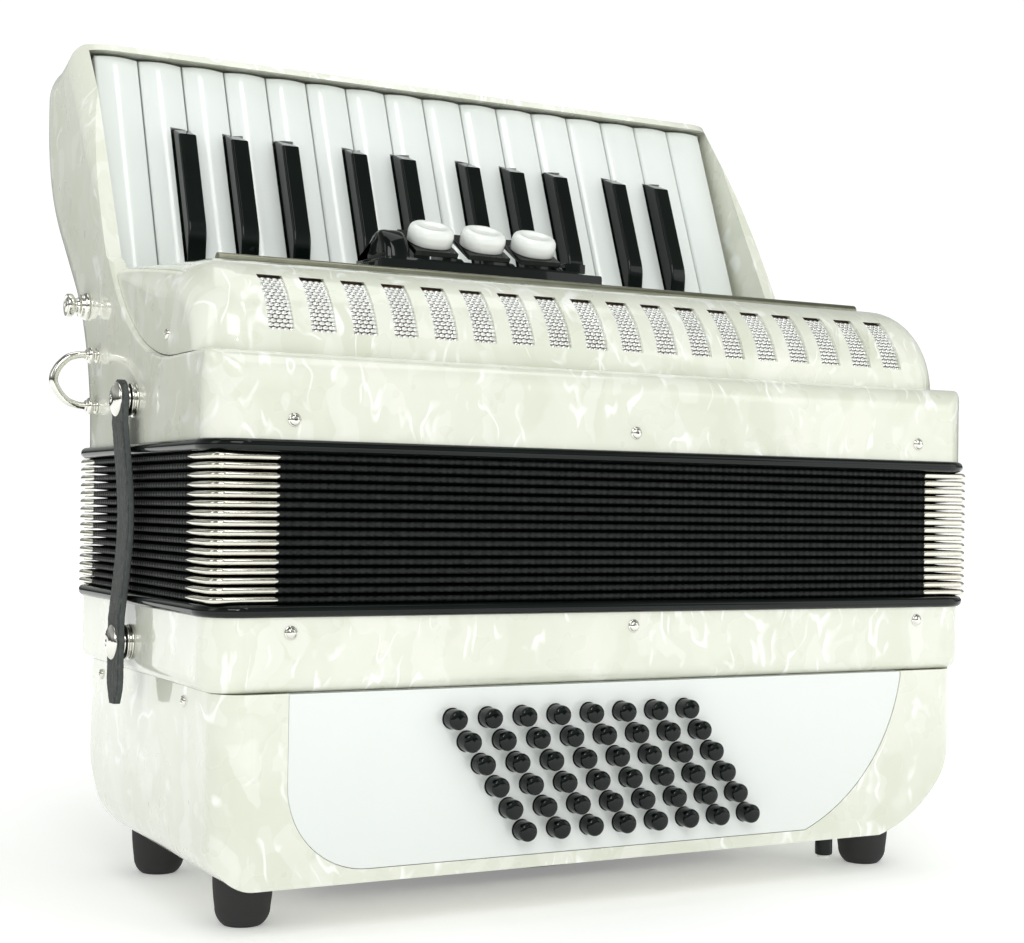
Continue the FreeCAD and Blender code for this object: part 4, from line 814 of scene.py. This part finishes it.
def weave_pad(middle, outward, around):
    """Rings of one bright pad: a low squarish dome on the mesh's surface."""
    half_wide, half_high = 1.1, 0.72
    steps = ((1.0, -0.22), (0.9, 0.05), (0.55, 0.2), (0.16, 0.26))
    return [[(middle + X_AXIS * (half_wide * size * blunt(math.cos(a)))
              + around * (half_high * size * math.sin(a)) + outward * up) * MM for a in turns(12)]
            for size, up in steps]


def grille_mesh():
    """Bright woven pads that show through every slot."""
    across, along, margin, slack = 2.2, 1.6, 0.3, 0.04
    low_angle, high_angle = SLOT_ANGLES
    row_angle = math.degrees(along / GRILLE_SURFACE)
    pads = Shape()
    for slot_x in slot_places():
        left, right = slot_x - SLOT_WIDTH / 2, slot_x + SLOT_WIDTH / 2
        for row in range(int((high_angle - low_angle) / row_angle)):
            angle = math.radians(high_angle - row_angle * (row + 0.5))
            outward = Vector((0, math.cos(angle), math.sin(angle)))
            around = Vector((0, -math.sin(angle), math.cos(angle)))
            first = left + (across / 2 if row % 2 else 0.0)
            for i in range(int(SLOT_WIDTH / across + 1.5)):
                x = first + across * i + random.uniform(-slack, slack)
                x = max(left + margin, min(right - margin, x))
                middle = GRILLE_CENTRE + X_AXIS * x + outward * GRILLE_SURFACE
                pads.rings(weave_pad(middle, outward, around), start_cap=False)
    make("grille_weave", pads, MESH_METAL, "treble_section", ["grille_mesh"], 80.0)


def grille_cloth():
    """Dark cloth under the mesh of every slot."""
    section = ((-1, -0.2), (1, -0.2), (1, -0.9), (-1, -0.9))
    past, steps = 2.0, 12
    low_angle, high_angle = SLOT_ANGLES[0] - past, SLOT_ANGLES[1] + past
    cloth = Shape()
    for slot_x in slot_places():
        rings = []
        for i in range(steps + 1):
            angle = math.radians(low_angle + (high_angle - low_angle) * i / steps)
            outward = Vector((0, math.cos(angle), math.sin(angle)))
            rings.append([(GRILLE_CENTRE + X_AXIS * (slot_x + side * SLOT_WIDTH / 2)
                           + outward * (GRILLE_SURFACE + up)) * MM for side, up in section])
        cloth.rings(rings)
    make("grille_cloth", cloth, GRILLE_CLOTH, "treble_section", (), 30.0)


# ---------------------------------------------------------------- register switches

SIDE_PLACE = Matrix(((0, 0, 1, 0), (1, 0, 0, 0), (0, 1, 0, 0), (0, 0, 0, 1)))
SWITCH_PITCH = 22.8
SWITCH_X = [-48.3 + SWITCH_PITCH * i for i in range(3)]
TOE_Y, TOE_Z = -48.5, 242.4
PADDLE_LENGTH = 21.0
TILT = math.radians(30.0)


def side_slab(shape, outline, low, high, edge=0.4, rounding=0.0):
    """Draw a side view (Y, Z) out along X, in millimetres, with softened edges."""
    if rounding:
        outline = rounded_profile([outline[-1]] + list(outline) + [outline[0]], rounding, 4)[1:-1]
    scaled = [(y * MM, z * MM) for y, z in outline]
    shape.prism(scaled, edge_levels(low * MM, high * MM, edge * MM, 3), SIDE_PLACE)


def on_switch(along, out):
    """A point of the tilted switch in the side view."""
    return (TOE_Y + along * math.cos(TILT) - out * math.sin(TILT),
            TOE_Z + along * math.sin(TILT) + out * math.cos(TILT))


def register_guard(front, back, deck):
    """Side view of the humped guard at the left end of the base."""
    depth, height, steps = 27.0, 12.4, 24
    hump = [(back, deck)]
    for i in range(steps, -1, -1):
        share = i / steps
        rise = math.sin(math.pi * min(1.0, share * 1.16) ** 0.8) ** 0.75
        hump.append((front + depth * share, deck + height * rise))
    return hump


def register_base():
    """Two-tiered black base with fins between the switches, a guard and two end blocks."""
    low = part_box("register_base")[0].z / MM
    front, back, deck, rise = -50.0, -20.0, 238.4, 1.6
    shape = Shape()
    plinth = [(front, low), (back, low + rise), (back, deck), (front + 0.6, deck)]
    side_slab(shape, plinth, -73.5, 25.5, 1.2)
    tier = [(front + 1.4, 238.0), (back - 0.5, 238.0), (back - 0.5, 240.6), (front + 1.8, 239.4)]
    side_slab(shape, tier, -70.5, 14.5, 0.5)
    fin = [(front + 1.6, 238.6), (back - 0.5, 238.6), (back - 0.5, 246.6), (front + 5.4, 241.0)]
    for i in range(len(SWITCH_X) + 1):
        x = SWITCH_X[0] + SWITCH_PITCH * (i - 0.5)
        side_slab(shape, fin, x - 1.1, x + 1.1, 0.3)
    end_block = [(-44.5, 239.5), (-22.5, 239.5), (-22.5, 243.2), (-44.5, 243.2)]
    side_slab(shape, end_block, 10.8, 20.2, 0.5)
    end_step = [(-34.0, 242.8), (-22.5, 242.8), (-22.5, 246.5), (-30.5, 246.5)]
    side_slab(shape, end_step, 9.4, 13.2, 0.4)
    side_slab(shape, register_guard(front + 1.4, back - 2.0, deck), -70.4, -58.8, 3.0)
    make("register_plinth", shape, BLACK_GLOSS, "treble_section", ["register_base"], 40.0)


def register_switches():
    straight, radius = 1.5, 7.7
    outline = []
    for a in turns(48):
        stretch = math.copysign(straight * min(1, abs(math.cos(a)) * 3), math.cos(a))
        outline.append((radius * math.cos(a) + stretch, radius * math.sin(a)))
    levels = [(0.0, 0.35), (0.35, 0.0), (4.0, -0.05), (5.4, 0.25), (6.3, 0.85), (6.8, 1.7), (6.95, 2.6),
              (6.7, 3.7), (6.3, 4.9), (6.1, 5.9), (6.05, 6.6)]
    for number, x in enumerate(SWITCH_X, 1):
        body = f"register_switch_{number}"
        y, z = on_switch(9.5, 0.0)
        place = Matrix.Translation((x * MM, y * MM, z * MM)) @ Matrix.Rotation(TILT, 4, "X")
        cap = Shape()
        cap.rings([[(px * (1 - inset / (radius + straight)) * MM, py * (1 - inset / radius) * MM, up * MM)
                    for px, py in outline] for up, inset in levels], place=place)
        make(f"switch_cap_{number}", cap, SWITCH_WHITE, body, [body], 60.0)
        paddle = Shape()
        corners = ((0.1, -2.1), (PADDLE_LENGTH, -2.1), (PADDLE_LENGTH, -0.05), (0.1, -0.05))
        side_slab(paddle, [on_switch(*corner) for corner in corners], x - 9.2, x + 9.2, 0.35)
        make(f"switch_paddle_{number}", paddle, BLACK_GLOSS, body, (), 40.0)


# ---------------------------------------------------------------- studio

def look(place, yaw, pitch, roll):
    """Camera matrix: yaw from +Y towards +X, pitch up, roll anticlockwise, in degrees."""
    yaw, pitch, roll = (math.radians(a) for a in (yaw, pitch, roll))
    ahead = Vector((math.sin(yaw) * math.cos(pitch), math.cos(yaw) * math.cos(pitch), math.sin(pitch)))
    level = Vector((math.cos(yaw), -math.sin(yaw), 0))
    upright = level.cross(ahead)
    right = level * math.cos(roll) + upright * math.sin(roll)
    up = upright * math.cos(roll) - level * math.sin(roll)
    turn = Matrix((right, up, -ahead)).transposed().to_4x4()
    return Matrix.Translation(place) @ turn


def camera():
    data = bpy.data.cameras.new("camera")
    data.sensor_width = 36.0
    data.lens = 62.8
    eye = bpy.data.objects.new("camera", data)
    eye.matrix_world = look(Vector((-0.3464, -0.6685, 0.1439)), 28.17, 1.19, 0.876)
    bpy.context.scene.collection.objects.link(eye)
    bpy.context.scene.camera = eye


def area_light(name, place, target, width, height, watts, colour=(1, 1, 1)):
    data = bpy.data.lights.new(name, "AREA")
    data.shape = "RECTANGLE"
    data.size = width
    data.size_y = height
    data.energy = watts
    data.color = colour
    lamp = bpy.data.objects.new(name, data)
    lamp.location = place
    lamp.rotation_euler = (Vector(target) - Vector(place)).to_track_quat("-Z", "Y").to_euler()
    bpy.context.scene.collection.objects.link(lamp)


def floor():
    """Pale floor with a painted glow: it emits light, dim near the object and rising to plain white further
    away.
    """
    finish = Finish("studio_floor", Roughness=0.7, Specular_IOR_Level=0.25)
    finish.feed(Base_Color=finish.ramp(finish.noise(3.0)[0], [(0.3, 0.88), (0.7, 0.92)]))
    # painted light: the floor's emission grows with distance from the object, so the floor stays dimmer
    # where the object's shadow falls
    away = finish.node("VectorMath", {0: finish.place}, operation="LENGTH").outputs["Value"]
    glow = finish.node("MapRange", {"Value": away, "From Min": 0.15, "From Max": 0.90,
                                  "To Min": 0.26, "To Max": 0.75})
    finish.feed(Emission_Color=(1.0, 1.0, 1.0, 1.0), Emission_Strength=glow.outputs["Result"])
    reach = 14.0
    mesh = bpy.data.meshes.new("floor")
    mesh.from_pydata([(-reach, -reach, 0), (reach, -reach, 0), (reach, reach, 0), (-reach, reach, 0)],
                     [], [(0, 1, 2, 3)])
    mesh.materials.append(finish.material)
    plane = bpy.data.objects.new("floor", mesh)
    bpy.context.scene.collection.objects.link(plane)


ROOM_BANDS = ((0.0, 0.10), (0.46, 0.03), (0.52, 0.05), (0.62, 0.55), (0.80, 0.30), (1.0, 0.12))


def room_bands(nodes, links):
    """Grey bands from floor to ceiling for the reflections, by the direction that is looked in."""
    direction = nodes.new("ShaderNodeTexCoord")
    split = nodes.new("ShaderNodeSeparateXYZ")
    links.new(direction.outputs["Generated"], split.inputs[0])
    half = nodes.new("ShaderNodeMath")
    half.operation = "MULTIPLY_ADD"
    half.inputs[1].default_value = 0.5
    half.inputs[2].default_value = 0.5
    links.new(split.outputs["Z"], half.inputs[0])
    bands = nodes.new("ShaderNodeValToRGB")
    while len(bands.color_ramp.elements) < len(ROOM_BANDS):
        bands.color_ramp.elements.new(0.5)
    for element, (place, grey) in zip(bands.color_ramp.elements, ROOM_BANDS):
        element.position = place
        element.color = (grey * 0.96, grey, grey * 0.95, 1)
    links.new(half.outputs[0], bands.inputs[0])
    return bands.outputs[0]


def sky():
    """Soft even light, a graded room for reflections and a plain white backdrop."""
    world = bpy.data.worlds.new("studio")
    world.use_nodes = True
    nodes, links = world.node_tree.nodes, world.node_tree.links

    def shade(colour, strength):
        made = nodes.new("ShaderNodeBackground")
        made.inputs["Color"].default_value = (*colour, 1)
        made.inputs["Strength"].default_value = strength
        return made

    def choose(switch, off, on):
        made = nodes.new("ShaderNodeMixShader")
        for source, socket in ((switch, 0), (off, 1), (on, 2)):
            links.new(source, made.inputs[socket])
        return made.outputs[0]

    seen = nodes.new("ShaderNodeLightPath")
    room = shade((1, 1, 1), 1.0)
    links.new(room_bands(nodes, links), room.inputs["Color"])
    soft = shade((0.94, 0.985, 0.93), 0.52)
    lit = choose(seen.outputs["Is Glossy Ray"], soft.outputs[0], room.outputs[0])
    backdrop = shade((1, 1, 1), 1.05)
    nodes.remove(nodes["Background"])
    shown = choose(seen.outputs["Is Camera Ray"], lit, backdrop.outputs[0])
    links.new(shown, nodes["World Output"].inputs["Surface"])
    bpy.context.scene.world = world


def studio():
    floor()
    sky()
    centre = (0.0, -0.03, 0.17)
    area_light("key_light", (-0.55, -1.45, 1.25), centre, 0.9, 0.7, 8.4)
    area_light("key_streak", (0.35, -1.3, 1.75), (0.0, 0.08, 0.27), 0.16, 0.9, 2.2)
    area_light("fill_light", (1.4, -1.1, 0.6), centre, 1.0, 1.2, 4.0)
    area_light("side_light", (-1.5, -0.3, 0.95), centre, 0.5, 1.0, 2.4)
    area_light("top_light", (0.1, 0.1, 1.9), centre, 1.6, 1.2, 8.0)
    area_light("spark_light", (-0.35, -1.6, 0.75), centre, 0.05, 0.05, 0.9)
    bpy.context.scene.view_settings.view_transform = "Standard"


paint_frame()
bass_buttons()
bellows()
bass_metal()
treble_metal()
strap_loops()
bellows_straps()
hand_strap()
air_button()
grille_mesh()
grille_cloth()
register_base()
register_switches()
camera()
studio()
